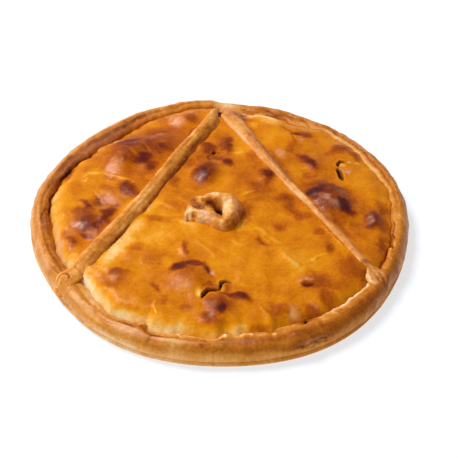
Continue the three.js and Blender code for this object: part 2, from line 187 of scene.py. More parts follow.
def rim_outline(turn):
    """Radius of the pie's outline: the mean radius and four slow waves round it."""
    return PIE_RADIUS + sum(depth * np.cos(np.radians(count * (turn - at))) for count, depth, at in RIM_LOBES)


def through(knots, samples):
    """Matrix from values at the knots to samples of a smooth curve through them, each sample a cubic mix of
    the four nearest knots (Catmull-Rom)."""
    u = np.linspace(0, knots - 1, samples)
    i = np.clip(u.astype(int), 0, knots - 2)
    t = u - i
    weights = np.stack([-t + 2 * t**2 - t**3, 2 - 5 * t**2 + 3 * t**3,
                        t + 4 * t**2 - 3 * t**3, -t**2 + t**3], 1) / 2
    matrix = np.zeros((samples, knots))
    for k in range(4):
        np.add.at(matrix, (np.arange(samples), np.clip(i + k - 1, 0, knots - 1)), weights[:, k])
    return matrix


def lumps(points, size, seed):
    """Smooth random field from -1 to 1 over points in mm: random values at the corners of cubes of the given
    size, blended across each cube by the curve 3t^2 - 2t^3 in each direction."""
    draw = np.random.default_rng(seed)
    order = draw.permutation(512)
    value = draw.uniform(-1, 1, 512)
    cell = np.floor(points / size).astype(int)
    t = points / size - cell
    t = t * t * (3 - 2 * t)
    total = np.zeros(points.shape[:-1])
    for corner in np.ndindex(2, 2, 2):
        at = cell + np.array(corner)
        drawn = order[(order[(order[at[..., 0] % 512] + at[..., 1]) % 512] + at[..., 2]) % 512]
        total += np.prod(np.where(np.array(corner) == 1, t, 1 - t), axis=-1) * value[drawn]
    return total


def rough(points, *layers):
    """Sum of fields of lumps over the points, each layer its height, its size in mm and its seed."""
    return sum(height * lumps(points, size, seed) for height, size, seed in layers)


def outward(grid):
    """Unit normals of a grid of points that closes on itself across the columns: the step to the next column,
    crossed with the step to the next row."""
    across = np.roll(grid, -1, axis=1) - np.roll(grid, 1, axis=1)
    normal = np.cross(across, np.gradient(grid, axis=0))
    return normal / np.maximum(np.linalg.norm(normal, axis=-1, keepdims=True), 1e-9)


def skin(rows, columns):
    """Faces over a grid that closes on itself across the columns, with a fan from the first row to one more
    point and from the last row to another. Points are numbered row by row, and these two come last."""
    at = np.arange(rows * columns).reshape(rows, columns)
    beside = np.roll(at, -1, axis=1)
    quads = np.stack([at[:-1], beside[:-1], beside[1:], at[1:]], -1).reshape(-1, 4)
    first = np.stack([np.full(columns, rows * columns), beside[0], at[0]], -1)
    last = np.stack([np.full(columns, rows * columns + 1), at[-1], beside[-1]], -1)
    return quads.tolist() + first.tolist() + last.tolist()


def dough_piece(name, points, faces, fields):
    """Object with a smooth mesh over points in mm, and one number at each point for every field."""
    mesh = bpy.data.meshes.new(name)
    mesh.from_pydata(points.reshape(-1, 3) * MM, [], faces)
    mesh.polygons.foreach_set("use_smooth", np.ones(len(faces), bool))
    for field, values in fields.items():
        layer = mesh.attributes.new(field, "FLOAT", "POINT")
        layer.data.foreach_set("value", np.ascontiguousarray(values, np.float32).ravel())
    piece = bpy.data.objects.new(name, mesh)
    bpy.context.collection.objects.link(piece)
    return piece


def patch(u, v, spots, fade=3, power=1):
    """Soft oval patches. Each spot is its place, its half length and half width, the turn of its length in
    degrees and its strength, and it fades as exp(-d^fade) with d the distance in half sizes. Where spots
    overlap, the result is the root of the sum of their powers: their sum for a power of 1, and close to the
    strongest for more."""
    total = np.zeros(np.shape(u))
    for at_u, at_v, length, width, angle, strength in spots:
        c, s = math.cos(math.radians(angle)), math.sin(math.radians(angle))
        d = np.hypot(((u - at_u) * c + (v - at_v) * s) / length, ((v - at_v) * c - (u - at_u) * s) / width)
        total += (strength * np.exp(-d**fade)) ** power
    return total ** (1 / power)


def from_line(u, v, points):
    """Distance of each place from a line through the points, and how far along the line, from 0 to 1, its
    nearest place is."""
    points = np.array(points, float)
    lengths = np.linalg.norm(np.diff(points, axis=0), axis=1)
    nearest, share, before = np.full(np.shape(u), 1e9), np.zeros(np.shape(u)), 0.0
    for start, end, length in zip(points[:-1], points[1:], lengths):
        step = (end - start) / length
        t = np.clip((u - start[0]) * step[0] + (v - start[1]) * step[1], 0, length)
        d = np.hypot(u - start[0] - t * step[0], v - start[1] - t * step[1])
        share = np.where(d < nearest, (before + t) / lengths.sum(), share)
        nearest = np.minimum(nearest, d)
        before += length
    return nearest, share


def pressed(u, v, lines, ends=0.0):
    """Height and browning of lines pressed into dough or standing on it; for some lines the browning is
    painted shade, and for others a painted highlight. Each line is its half width, height, browning and the
    points that it passes. Both fade as exp(-(d / w)^2) across it, and over a quarter of its length at each
    end they taper to the given share. The browning keeps to 0.8 of the width."""
    relief, tone = np.zeros(np.shape(u)), np.zeros(np.shape(u))
    for width, rise, browning_and_painted_light, points in lines:
        away, part = from_line(u, v, points)
        taper = np.clip(4 * part, ends, 1) * np.clip(4 * (1 - part), ends, 1)
        relief += rise * taper * np.exp(-(away / width) ** 2)
        tone += browning_and_painted_light * taper * np.exp(-(away / (0.8 * width)) ** 2)
    return relief, tone


def from_seam(turn):
    """The same turn counted from the rim's seam, so that marks across 0 are whole. They stop at the seam."""
    return (turn - RIM_SEAM) % 360 + RIM_SEAM


def on_rim(spots):
    """Spots of the rim, given without a slant, as patch() takes them."""
    return [(from_seam(turn), share, *sizes, 0, strength) for turn, share, *sizes, strength in spots]


def linear(colour):
    """Linear RGBA of an sRGB hex colour."""
    part = np.array([int(colour[i:i + 2], 16) for i in (1, 3, 5)]) / 255
    return tuple(np.where(part <= 0.04045, part / 12.92, ((part + 0.055) / 1.055) ** 2.4)) + (1.0,)


def add(tree, kind, inputs=None, **settings):
    """Adds a node, sets its settings, and links or fills its inputs."""
    node = tree.nodes.new(kind)
    for name, value in settings.items():
        setattr(node, name, value)
    for name, value in (inputs or {}).items():
        if isinstance(value, bpy.types.NodeSocket):
            tree.links.new(value, node.inputs[name])
        else:
            node.inputs[name].default_value = value
    return node


# Tones of the dry outer dough as it bakes, from the pale dough inside a crease to a dark crust.
ROLLED_TONES = [
    (0.0, "#F6DDB6"), (0.15, "#EEBB80"), (0.3, "#DF9C4C"), (0.45, "#CC812B"), (0.58, "#B86A18"),
    (0.7, "#A05410"), (0.82, "#833E0B"), (0.92, "#5E2908"), (1.0, "#351406")]


def baked_dough(name, tones, roughness, blotch, grain):
    """Bread dough under egg wash. The colour comes from the field of browning and painted light, which holds
    the oven's browning and also painted shade and painted highlights, broken up by blotches of 14 mm and
    flecks of 2.5 mm. A dull pink comes from the field of pink and painted highlight, which holds the pinker
    ropes and painted highlights on blisters and crests. The skin is satin, with pores of 1 mm and ripples
    about a millimetre high."""
    material = bpy.data.materials.new(name)
    material.use_nodes = True
    tree = material.node_tree
    shader = tree.nodes["Principled BSDF"]
    place = add(tree, "ShaderNodeTexCoord").outputs["Object"]
    browning_and_painted_light = add(tree, "ShaderNodeAttribute", attribute_name="browning_and_painted_light").outputs["Fac"]
    blotches = add(tree, "ShaderNodeTexNoise",
                   {"Vector": place, "Scale": 1 / (14 * MM), "Detail": 5, "Roughness": 0.6})
    flecks = add(tree, "ShaderNodeTexNoise",
                 {"Vector": place, "Scale": 1 / (2.5 * MM), "Detail": 4, "Roughness": 0.65})
    mottled = add(tree, "ShaderNodeMath", {0: blotches.outputs["Fac"], 1: blotch, 2: browning_and_painted_light},
                  operation="MULTIPLY_ADD")
    flecked = add(tree, "ShaderNodeMath", {0: flecks.outputs["Fac"], 1: grain, 2: mottled.outputs[0]},
                  operation="MULTIPLY_ADD")
    centred = add(tree, "ShaderNodeMath", {0: flecked.outputs[0], 1: (blotch + grain) / 2},
                  operation="SUBTRACT")
    oven = add(tree, "ShaderNodeValToRGB", {"Fac": centred.outputs[0]})
    ramp = oven.color_ramp
    while len(ramp.elements) < len(tones):
        ramp.elements.new(1.0)
    for element, (position, colour) in zip(ramp.elements, tones):
        element.position = position
        element.color = linear(colour)
    # Dull pink: the ropes' own pink tone, and painted highlights on blisters and crests.
    pink_and_painted_highlight = add(tree, "ShaderNodeAttribute", attribute_name="pink_and_painted_highlight").outputs["Fac"]
    pink_and_highlight_mix = add(tree, "ShaderNodeMix", {0: pink_and_painted_highlight, 6: oven.outputs["Color"], 7: linear("#DFA488")},
                 data_type="RGBA")
    tree.links.new(pink_and_highlight_mix.outputs[2], shader.inputs["Base Color"])
    sheen = add(tree, "ShaderNodeMapRange", {"Value": flecks.outputs["Fac"], "From Min": 0.3, "From Max": 0.7,
                                             "To Min": roughness - 0.07, "To Max": roughness + 0.09})
    tree.links.new(sheen.outputs["Result"], shader.inputs["Roughness"])
    pores = add(tree, "ShaderNodeTexNoise",
                {"Vector": place, "Scale": 1 / (1.1 * MM), "Detail": 4, "Roughness": 0.6})
    pitted = add(tree, "ShaderNodeBump",
                 {"Height": pores.outputs["Fac"], "Strength": 0.25, "Distance": 0.35 * MM})
    rippled = add(tree, "ShaderNodeBump",
                  {"Height": blotches.outputs["Fac"], "Strength": 0.5, "Distance": 1.2 * MM,
                   "Normal": pitted.outputs["Normal"]})
    tree.links.new(rippled.outputs["Normal"], shader.inputs["Normal"])
    shader.inputs["IOR"].default_value = 1.4
    shader.inputs["Specular IOR Level"].default_value = 0.3
    shader.inputs["Specular Tint"].default_value = linear("#FFD2BE")
    return material


turn = np.linspace(0, 360, RIM_COLUMNS, endpoint=False)
reach = fold_edge(turn)
inset = RIM_SECTION[:, :1] + RIM_SECTION[:, 2:3] * (reach - RIM_SECTION[-1, 0])
height = (RIM_SECTION[:, 1:2] + RIM_SECTION[:, 3:4] * eased(turn, CREST_RISE)
          - RIM_SECTION[:, 4:5] * eased(turn, GROOVE))
height[-1] = eased(turn, CREASE_HEIGHT)
height[-2] += CREASE_PULL * (height[-1] - RIM_SECTION[-1, 1])
section = through(len(RIM_SECTION), RIM_ROWS)
rim_radius = rim_outline(turn) - section @ inset
rim_height = section @ height
inner = rim_radius[-1]
rows = np.concatenate([np.outer(UNDER_RINGS, rim_outline(turn)), rim_radius,
                       [inner - gap for gap in TUCK_GAPS], np.outer(SHEET_RINGS, inner)])
inside_levels = [TUCK_HEIGHT] + [BASE_SHEET] * (1 + len(SHEET_RINGS))
levels = np.concatenate([np.zeros((len(UNDER_RINGS), RIM_COLUMNS)), rim_height,
                         np.outer(inside_levels, np.ones(RIM_COLUMNS))])
angle = np.radians(turn)
rim = np.stack([rows * np.cos(angle), rows * np.sin(angle), levels], -1)
along = np.concatenate([np.zeros(len(UNDER_RINGS)), np.linspace(0, 1, RIM_ROWS), np.ones(len(inside_levels))])
along = along[:, None] + 0 * rim[..., 0]
# Dents fade out towards the floor and the crease.
swell = np.clip((rim[..., 2] - 1) / 6, 0, 1) * np.clip((1 - along) / 0.05, 0, 1)
dents = rough(rim, (0.9, 26, 11), (0.85, 11, 12), (0.42, 4.5, 13))
rim += outward(rim) * (swell * dents)[..., None]
# Lines are laid out in mm round the rim and over it, and wander by about a mm.
rim_turn = from_seam(turn) + 0 * along
arc = math.radians(PIE_RADIUS)
round_rim = rim_turn * arc + 0.9 * lumps(rim, 5, 16)
over_rim = along * SECTION_LENGTH + 0.9 * lumps(rim, 5, 17)
rim_marks = [(width, rise, tone, [(from_seam(t) * arc, share * SECTION_LENGTH) for t, share in points])
             for width, rise, tone, points in RIM_LINES]
rim_relief, rim_lines = pressed(round_rim, over_rim, rim_marks, 0.2)
streak_place = [rim_turn * arc / STREAK_WIDTH, along * SECTION_LENGTH / STREAK_LENGTH, 0 * along]
streaks = lumps(np.stack(streak_place, -1), 1, 18)
rim += outward(rim) * (rim_relief + 0.1 * swell * streaks)[..., None]
rim[..., 2] = np.maximum(rim[..., 2], 0)
# Tones of the rim: the mean tone, and its change from the pale foot to the crest, at shares of the section.
# The seam above the foot and the groove are browner. The middle of the underside and what is hidden follow.
RIM_TONE = 0.45
UNDERSIDE_TONE = 0.6
HIDDEN_TONE = 0.3
UP_THE_RIM = [(0.14, -0.22), (0.26, -0.2), (0.36, -0.1), (0.46, 0), (0.56, 0.03), (0.8, 0.05), (0.9, 0.03)]
foot_seam = 0.2 * np.exp(-((along - 0.235) / 0.018) ** 2) * (levels > 2)
groove_tone = 0.12 * np.exp(-((along - 0.78) / 0.05) ** 2) * np.minimum(eased(turn, GROOVE) / 3, 1)
rim_browning_and_painted_light = (RIM_TONE + rim_lines + rough(rim, (0.06, 34, 14), (0.07, 12, 15)) + 0.035 * streaks
                + np.interp(along, *zip(*UP_THE_RIM)) + foot_seam + groove_tone
                + eased(turn, CREASE_TONE) * np.clip((along - 0.9) / 0.1, 0, 1))
# Pale and dark places on the rim: turn, share of the section, half length in degrees, half width, browning.
# The pale spots on the crests at turns 187 to 257 are painted highlights, and the dark ones in the back-left
# crevices at turns 146 to 163 and the band over the fold's inner face at turn 150 are painted shade.
RIM_TONES = [
    (32, 0.93, 24, 0.06, -0.2), (345, 0.86, 14, 0.05, -0.08), (311, 0.92, 5, 0.06, -0.14),
    (320, 0.94, 10, 0.05, -0.15), (299, 0.94, 3, 0.06, 0.26), (58, 0.82, 4, 0.1, -0.12),
    (46, 0.88, 7, 0.07, -0.2), (68, 0.8, 6, 0.13, 0.14), (74, 0.88, 6, 0.08, 0.12),
    (53, 0.77, 5, 0.06, 0.1), (79, 0.96, 3, 0.05, -0.3), (90, 0.84, 5, 0.12, -0.14),
    (89, 0.71, 5, 0.08, -0.24), (104, 0.76, 8, 0.14, 0.12), (140, 0.75, 24, 0.2, 0.06),
    (270, 0.92, 3, 0.07, -0.26), (278, 0.92, 2.5, 0.06, -0.24), (284, 0.9, 2.5, 0.06, -0.24),
    (346, 0.8, 2, 0.04, -0.2), (300, 0.62, 30, 0.17, 0.22), (297, 0.47, 8, 0.08, 0.2),
    (297, 0.72, 7, 0.1, 0.1), (273, 0.54, 12, 0.07, 0.12), (226, 0.6, 6, 0.06, -0.16),
    (242, 0.63, 6, 0.07, -0.22), (257, 0.66, 5, 0.06, -0.18), (236, 0.46, 5, 0.05, 0.14),
    (248, 0.48, 7, 0.05, 0.12), (187, 0.69, 6, 0.06, -0.12), (200, 0.58, 8, 0.06, -0.14),
    (95, 0.7, 14, 0.18, -0.12), (135, 0.62, 30, 0.1, -0.12), (150, 0.87, 32, 0.1, 0.2),
    (187, 0.87, 7, 0.1, 0.2), (146, 0.93, 4, 0.06, 0.06), (163, 0.95, 7, 0.06, 0.12),
    (157, 0.93, 5, 0.06, 0.12), (10, 0.5, 40, 0.12, 0.05), (238, 0.3, 50, 0.1, -0.02),
    (300, 0.25, 44, 0.14, 0.16), (226, 0.84, 8, 0.1, -0.22), (222, 0.58, 4, 0.05, -0.16),
    (230, 0.53, 5, 0.05, -0.16), (225, 0.27, 26, 0.09, -0.1), (232, 0.46, 22, 0.07, -0.06),
    (205, 0.77, 6, 0.09, 0.16), (225, 0.96, 7, 0.06, -0.24), (246, 0.79, 5, 0.06, 0.14),
    (285, 0.59, 8, 0.08, -0.16), (285, 0.95, 5, 0.07, 0.2), (275, 0.72, 6, 0.08, 0.12),
    (38, 0.85, 5, 0.12, 0.1), (258, 0.9, 6, 0.1, -0.12), (254, 0.42, 42, 0.26, -0.035),
    (184, 0.5, 5, 0.06, -0.14), (193, 0.5, 3, 0.05, -0.14), (340, 0.88, 7, 0.05, -0.14),
    (335, 0.42, 24, 0.2, 0.12), (112, 0.8, 9, 0.15, -0.1), (80, 0.7, 6, 0.2, 0.12)]
rim_browning_and_painted_light += patch(rim_turn, along, on_rim(RIM_TONES))
# Painted highlights, dull pink, on the crests of the rim, given in the same way.
RIM_PAINTED_HIGHLIGHTS = [
    (242, 0.63, 8, 0.06, 0.42), (257, 0.66, 6, 0.06, 0.38), (226, 0.6, 7, 0.05, 0.36),
    (187, 0.69, 6, 0.05, 0.34), (200, 0.57, 9, 0.06, 0.3), (298, 0.5, 5, 0.03, 0.15),
    (275, 0.72, 8, 0.08, 0.16), (142, 0.75, 30, 0.22, 0.12), (45, 0.85, 20, 0.08, 0.16),
    (160, 0.62, 14, 0.05, 0.2)]
rim_painted_highlight = patch(rim_turn, along, on_rim(RIM_PAINTED_HIGHLIGHTS)) * np.clip(1 + 0.9 * lumps(rim, 6, 19), 0.1, 1.9)
ends = np.array([(0, 0, 0), (0, 0, BASE_SHEET)])
rim_points = np.concatenate([rim.reshape(-1, 3), ends])
bottom_crust = dough_piece("bottom_crust_baked", rim_points, skin(*rim.shape[:2]),
                           {"browning_and_painted_light": np.concatenate([rim_browning_and_painted_light.ravel(), [UNDERSIDE_TONE, HIDDEN_TONE]]),
                            "pink_and_painted_highlight": np.concatenate([rim_painted_highlight.ravel(), [0, 0]])})
rim_dough = baked_dough("egg_washed_rim_crust", ROLLED_TONES, roughness=0.36, blotch=0.32, grain=0.4)
bottom_crust.data.materials.append(rim_dough)
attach(bottom_crust, "root")
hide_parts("bottom_crust")

# Top crust: the upper sheet of the same dough, rolled out thin over the filling and brushed with egg. It
# domes a little, blisters where steam lifts it, browns most on the blisters, and splits in a few places.
LID_CELLS = 150
EDGE_CROWDING = 0.5
SHOULDER_HEIGHT = 26.5
SHOULDER_RUN = 15
CROWN = 4.5
CLEAR = 0.3
# The hidden foot of the sheet as a share of its size, how far from the crease small lumps begin to fade, and
# how much lines wander for each mm that spots do.
FOOT_SHARE = 0.985
CALM_EDGE = 8
LINE_WANDER = 0.4
# How gently the sheet slopes from the crease to the shoulder, and how much lower the shoulder is, by turn.
EDGE_SLOPE = [
    (0, 0.6), (60, 0.6), (130, 0.5), (185, 0.55), (215, 0.85), (240, 0.95), (290, 0.95), (320, 0.75)]
LOW_EDGE = [
    (0, 3.5), (40, 2.2), (70, 0.4), (100, 0), (118, 2), (130, 3.5), (144, 1.0), (165, 0.4), (185, 0),
    (300, 0), (335, 2.0)]
# Blisters: place, half length and half width, turn of the length, height.
BLISTERS = [
    (-76, 78, 36, 25, 20, 7.5), (-96, 54, 9, 15, -10, 3.0), (-40, 131, 14, 12, 0, 4.0),
    (-86, 23, 14, 9, -48, 2.4), (-98, 10, 15, 8, -45, 2.6), (-116, -21, 20, 14, -30, 3.0),
    (-124, 0, 8, 5, -50, 1.0), (-104, -15, 12, 6, 55, 1.2), (-119, -42, 5, 4, 0, 0.4),
    (-15, 47, 12, 15, 0, 4.4), (42, 45, 8, 13, -15, 2.4), (84, 67, 14, 8, -57, 2.6),
    (101, 17, 25, 16, -48, 6.0), (140, -9, 8, 15, -5, 3.2), (60, 112, 24, 16, -35, 2.6),
    (-25, -93, 17, 17, 0, 3.4), (2, -127, 12, 13, 0, 3.4), (-88, -91, 10, 8, 0, 1.6),
    (20, -117, 9, 6, -15, 1.8), (78, -95, 9, 5.5, 0, 2.6), (59, -130, 10, 8, 0, 2.0),
    (5, 90, 6, 13, 0, 1.8), (4, 63, 6, 7, 0, 1.5), (-16, 87, 10, 7, 0, 1.8), (-31, -60, 5, 10, 15, 1.2),
    (30, -62, 28, 22, 0, 1.4), (45, 138, 12, 7, -20, 1.2), (-70, -60, 20, 14, 0, 1.2),
    (113, 92, 14, 9, 50, 1.5), (115, -73, 13, 12, 50, 1.6), (64, -70, 16, 12, -50, 1.2),
    (-70, -30, 8, 7, 0, 1.0)]
# Creases and ridges: half width, height, browning and the points that they pass.
WRINKLES = [
    (1.6, 1.0, -0.2, [(-113, 47), (-106, 41), (-95, 37), (-85, 33), (-76, 25)]),
    (1.6, -0.7, 0.14, [(-112, 43), (-104, 37), (-95, 33)]),
    (1.8, 0.7, -0.16, [(-131, 37), (-124, 44), (-112, 45)]), (1.6, 0.6, -0.12, [(-128, 33), (-124, 39)]),
    (1.6, -0.7, 0.2, [(56, 122), (63, 116), (71, 110)]),
    (1.4, -0.6, 0.18, [(67, 108), (68, 102), (71, 94)]),
    (1.8, -0.7, 0.16, [(27, -43), (35, -45), (42, -54)]),
    (2.2, 0.9, -0.16, [(31, -27), (37, -34), (44, -41)]),
    (2.0, 0.9, -0.16, [(43, -40), (50, -45), (56, -50)]),
    (2.6, 0.9, -0.12, [(54, -54), (57, -66), (66, -76), (76, -85)]),
    # The two flat lines of browning, 3.5 mm wide, are painted shade: the right strip's shadow on the sheet.
    (1.6, 0.6, -0.13, [(77, -71), (86, -63), (98, -57)]), (3.5, 0, 0.16, [(38, 95), (55, 64), (70, 38)]),
    (3.5, 0, 0.16, [(98, -6), (116, -32.5), (124, -45)]),
    (0.8, 0.4, -0.2, [(90, -17), (102, -35.5), (113, -53)]),
    (0.8, -0.6, 0.2, [(91.5, -15.5), (104, -35), (114.5, -52)]),
    (1.4, 0.6, -0.2, [(17, 13), (24, 19), (33, 23)]), (1.0, 0.45, -0.24, [(-96, 82), (-87, 72), (-78, 61)]),
    (0.9, 0.4, -0.2, [(-91, 81), (-83, 70), (-76, 62)]),
    (0.9, 0.35, -0.2, [(-77, 86), (-71, 77), (-67, 69)]), (0.9, 0.3, -0.14, [(-101, 75), (-94, 67)]),
    (0.9, 0.3, -0.12, [(-64, 84), (-57, 72)]), (1.2, -0.5, 0.12, [(-121, 19), (-114, 8), (-107, -3)]),
    (1.2, 0.5, -0.12, [(-117, 17), (-110, 7), (-105, -1)]),
    (1.1, 0.4, -0.1, [(-101, 21), (-96, 13), (-91, 6)]), (1.4, 0.5, -0.16, [(5, 76), (12, 77), (21, 81)]),
    (1.3, 0.5, -0.3, [(119, 71.5), (123, 71.5)]), (1.1, 0.4, -0.26, [(126, 72), (132, 72.5)]),
    (2.0, -0.9, 0.06, [(-100, 90), (-90, 92), (-76, 92)]),
    (1.6, 0.7, -0.2, [(-54, -119), (-55, -128), (-51, -140)]),
    (1.6, 0.6, -0.18, [(-58, 4), (-50, -3), (-40, -8)]), (1.2, 0.5, -0.14, [(73, 57), (82, 59)]),
    (1.4, -0.5, 0.2, [(-13, -82), (-9, -89), (-4, -96)]),
    (1.3, -0.6, 0.16, [(-8, 76), (-13, 70), (-12, 60)]), (1.4, 0.5, -0.12, [(-70, -14), (-45, -16)]),
    (1.2, -0.9, 0.24, [(71, -99), (77, -100.5), (84, -98.5)]),
    (1.0, 0.35, -0.14, [(34, -124), (41, -133), (47, -142)]), (1.0, 0.35, -0.12, [(40, -122), (46, -131)]),
    (1.0, 0.35, -0.14, [(-25, -45), (-12, -60), (0, -70)]),
    (1.0, 0.35, -0.12, [(-20, -42), (-5, -55), (8, -62)]),
    (1.0, 0.35, -0.12, [(5, -45), (14, -52), (24, -56)]),
    (1.0, 0.3, -0.1, [(20, -72), (32, -80), (46, -84)]),
    (1.0, 0.35, -0.14, [(-40, 10), (-32, 2), (-28, -6)]), (1.0, 0.3, -0.12, [(-35, 22), (-22, 16)]),
    (1.0, 0.35, -0.12, [(70, -20), (62, -12), (50, -8)])]
# Splits where the filling shows: half width and points that they pass, their depth and the rise of the lips.
SPLITS = [
    (1.6, [(-15, -118.5), (-12, -113), (-8.5, -109), (-4, -108.5), (1.5, -107.5)]),
    (1.2, [(1.5, -108), (1, -103), (1.6, -98.6), (5, -97.8), (12, -100.6)]),
    (1.3, [(117.5, 71), (112.5, 71.5), (110, 68), (110.5, 64)]),
    (1.9, [(110.6, 61.5), (111.8, 55), (112.8, 50), (113.8, 44)]), (1.4, [(-7, 78), (-9, 74)])]
SPLIT_DEPTH = 6
SPLIT_LIP = 0.7
# Browning over the mean tone, and painted shade: place, half length and half width, turn of the length,
# strength. The spots in the crevices at the apex and at the left edge, along the sides of the left strip near
# its top, in the loop's hole and beside the loop, and at the sheet's edge near turn 30 are painted shade.
LID_TONE = 0.5
BROWNED_AND_SHADED = [
    (129, 82, 7, 5, -50, 0.24), (-74, 82, 36, 26, 18, 0.27), (-72, 80, 52, 40, 20, 0.12),
    (-93, 60, 9, 8, 0, 0.24), (-60, 78, 12, 10, 0, 0.27), (-82, 74, 20, 12, -40, 0.31),
    (-75, 62, 11, 8, 20, 0.46), (-88, 89, 13, 4, 4, 0.42), (-66, 92, 12, 5, 15, 0.34),
    (-54, 84, 9, 17, -10, 0.22), (-50, 110, 26, 9, 8, 0.17), (-66, 55, 10, 6, 30, 0.34),
    (-31, 128, 8, 9, 20, 0.2), (-60, 108, 7, 3, 20, 0.24), (-104, 84, 6, 5, 0, 0.12),
    (-70, 44, 12, 6, 50, 0.14), (-86, 22, 14, 8, -48, 0.35), (-123, -2, 10, 4.5, -50, 0.32),
    (-104, -16, 12, 6, 55, 0.35), (-117, -26, 17, 10, -25, 0.33), (-108, -29, 8, 6, 20, 0.32),
    (-124, -31, 8, 6, 0, 0.32), (-119, -10, 9, 6, 0, 0.22), (-134, -57, 5, 11, -20, 0.14),
    (-119, -42, 6, 4, -20, 0.34), (-134, -49, 6, 3.5, -40, 0.2), (-98, -4, 6, 4, 30, 0.2),
    (-128, -14, 10, 8, 0, 0.24), (-111, 2, 10, 8, 0, 0.2), (-140, -42, 5, 8, 20, 0.2),
    (-105, 22, 8, 5, -30, 0.12), (-15, 86, 9, 5.5, -20, 0.33), (5, 90, 4.5, 15, 8, 0.32),
    (4, 63, 5, 6, 30, 0.3), (-15, 47, 11, 14, -10, 0.33), (-18, 66, 10, 8, 0, 0.18),
    (-35, 62, 9, 14, 28, 0.2), (-45, 33, 5, 13, 28, 0.18), (-20, 41, 8, 10, 0, 0.45),
    (-6, 69, 10, 5, 0, 0.2), (146, -12, 9, 14, 0, 0.24), (-14, 78, 10, 6, 0, 0.27), (0, 92, 6, 10, 0, 0.26),
    (30, 70, 10, 14, 20, 0.14), (82, 48, 6, 8, 0, 0.2), (66, 0, 14, 6, -55, 0.16), (75, -10, 8, 6, 0, 0.14),
    (20, 142, 6, 3.5, -15, 0.5), (17, 137, 10, 6, -25, 0.3), (-3.5, 139, 3.5, 7, 25, 0.56),
    (22, -2, 5, 9, 10, 0.16), (-5, -106, 9, 5, 0, 0.2), (-7, -142, 9, 10, 0, 0.26),
    (-144, 47, 5, 12, -15, 0.4), (-92, -100, 14, 10, -30, 0.14), (-60, -124, 9, 14, 0, 0.12),
    (-107, -97, 6, 10, 30, 0.12), (135, 5, 8, 10, 0, 0.16), (42, 45, 8, 12, 15, 0.4),
    (38, 52, 5, 4, 0, 0.28), (36, 27, 13, 11, 0, 0.17), (58, 13, 11, 7, 0, 0.2), (40, 12, 9, 6, 0, 0.13),
    (25, 42, 14, 16, 0, 0.06), (-30, 20, 14, 12, 0, 0.08), (72, 110, 5, 3, -15, 0.36),
    (80, 111, 10, 5.5, 0, 0.26), (80, 68, 14, 7, -57, 0.34), (83, 65, 7, 5, -57, 0.32),
    (112, 92, 14, 8, 50, 0.2), (66, 90, 8, 8, 0, 0.1), (20, 122, 7, 14, 20, 0.16),
    (100, 17, 29, 19, -45, 0.3), (87, 23, 9, 6, 10, 0.48), (100, 31, 12, 7, -5, 0.36),
    (87, 13, 4, 15, 32, 0.3), (111, 4, 11, 8, -40, 0.5), (119, 0, 7, 5, -25, 0.34),
    (109, -8, 8, 12, 10, 0.22), (150, 8, 6, 12, 0, 0.22), (138, -10, 8, 15, -10, 0.38),
    (134, -20, 5, 4, 30, 0.32), (146, -38, 5, 11, -15, 0.2), (146, 8, 6, 12, 0, 0.16),
    (125, -25, 8, 14, 30, 0.12), (115, -75, 13, 15, -20, 0.21), (99, -50, 4, 8, -8, 0.16),
    (88, -28, 5, 5, 0, 0.18), (53, -27, 7, 7, 0, 0.17), (36, -46, 9, 3, -50, 0.2),
    (75, -100, 7, 2.5, -6, 0.24), (92, -93, 20, 12, 10, 0.16), (56, -127, 8, 6, 0, 0.12),
    (80, -129, 10, 7, 15, 0.3), (94, -112, 7, 9, 0, 0.2), (48, -129, 7, 9, 0, 0.2),
    (-42, 66, 6, 30, -27, 0.24), (-27, 108, 5, 16, -24, 0.2), (-60, 130, 8, 7, 0, 0.16),
    (-84, 100, 6, 14, -20, 0.16), (124, 88, 6, 6, 0, 0.2), (128, -82, 5, 12, -25, 0.24),
    (-25, -84, 6, 10, 0, 0.2), (68, -138, 7, 4, 20, 0.18), (36, -148, 8, 5, 10, 0.24),
    (6, -103, 8, 7, 0, 0.2), (-28, -72, 6, 10, 20, 0.14), (-1, -13, 10, 8, -20, 0.68),
    (25, -13, 4, 13, 5, 0.2), (-34, -82, 12, 6, 42, 0.42), (-21, -76, 8.5, 6, -10, 0.42),
    (-13, -84, 10, 3.4, -58, 0.34), (-24, -94, 13, 13, 0, 0.1), (-31, -58, 3.8, 9, 15, 0.28),
    (-88, -90, 8.5, 6, -10, 0.28), (-92, -104, 7, 4, 0, 0.14), (-57, -107, 8, 3, -45, 0.24),
    (-49, -120, 5, 7, 0, 0.14), (20, -117, 6.5, 5, -10, 0.4), (14, -114, 8, 3.6, -14, 0.28),
    (9, -112, 9, 2.6, -12, 0.3), (0, -125, 13, 13, 0, 0.23), (3, -131, 5.5, 5.5, 0, 0.38),
    (5, -146, 10, 8, 0, 0.2), (-28, -130, 9, 4, 10, 0.14), (-75, -131, 12, 4, -15, 0.14),
    (-60, -19, 18, 5, -3, 0.17), (-72, -57, 7, 6, 0, 0.14), (-63, -74, 7, 8, 0, 0.12)]
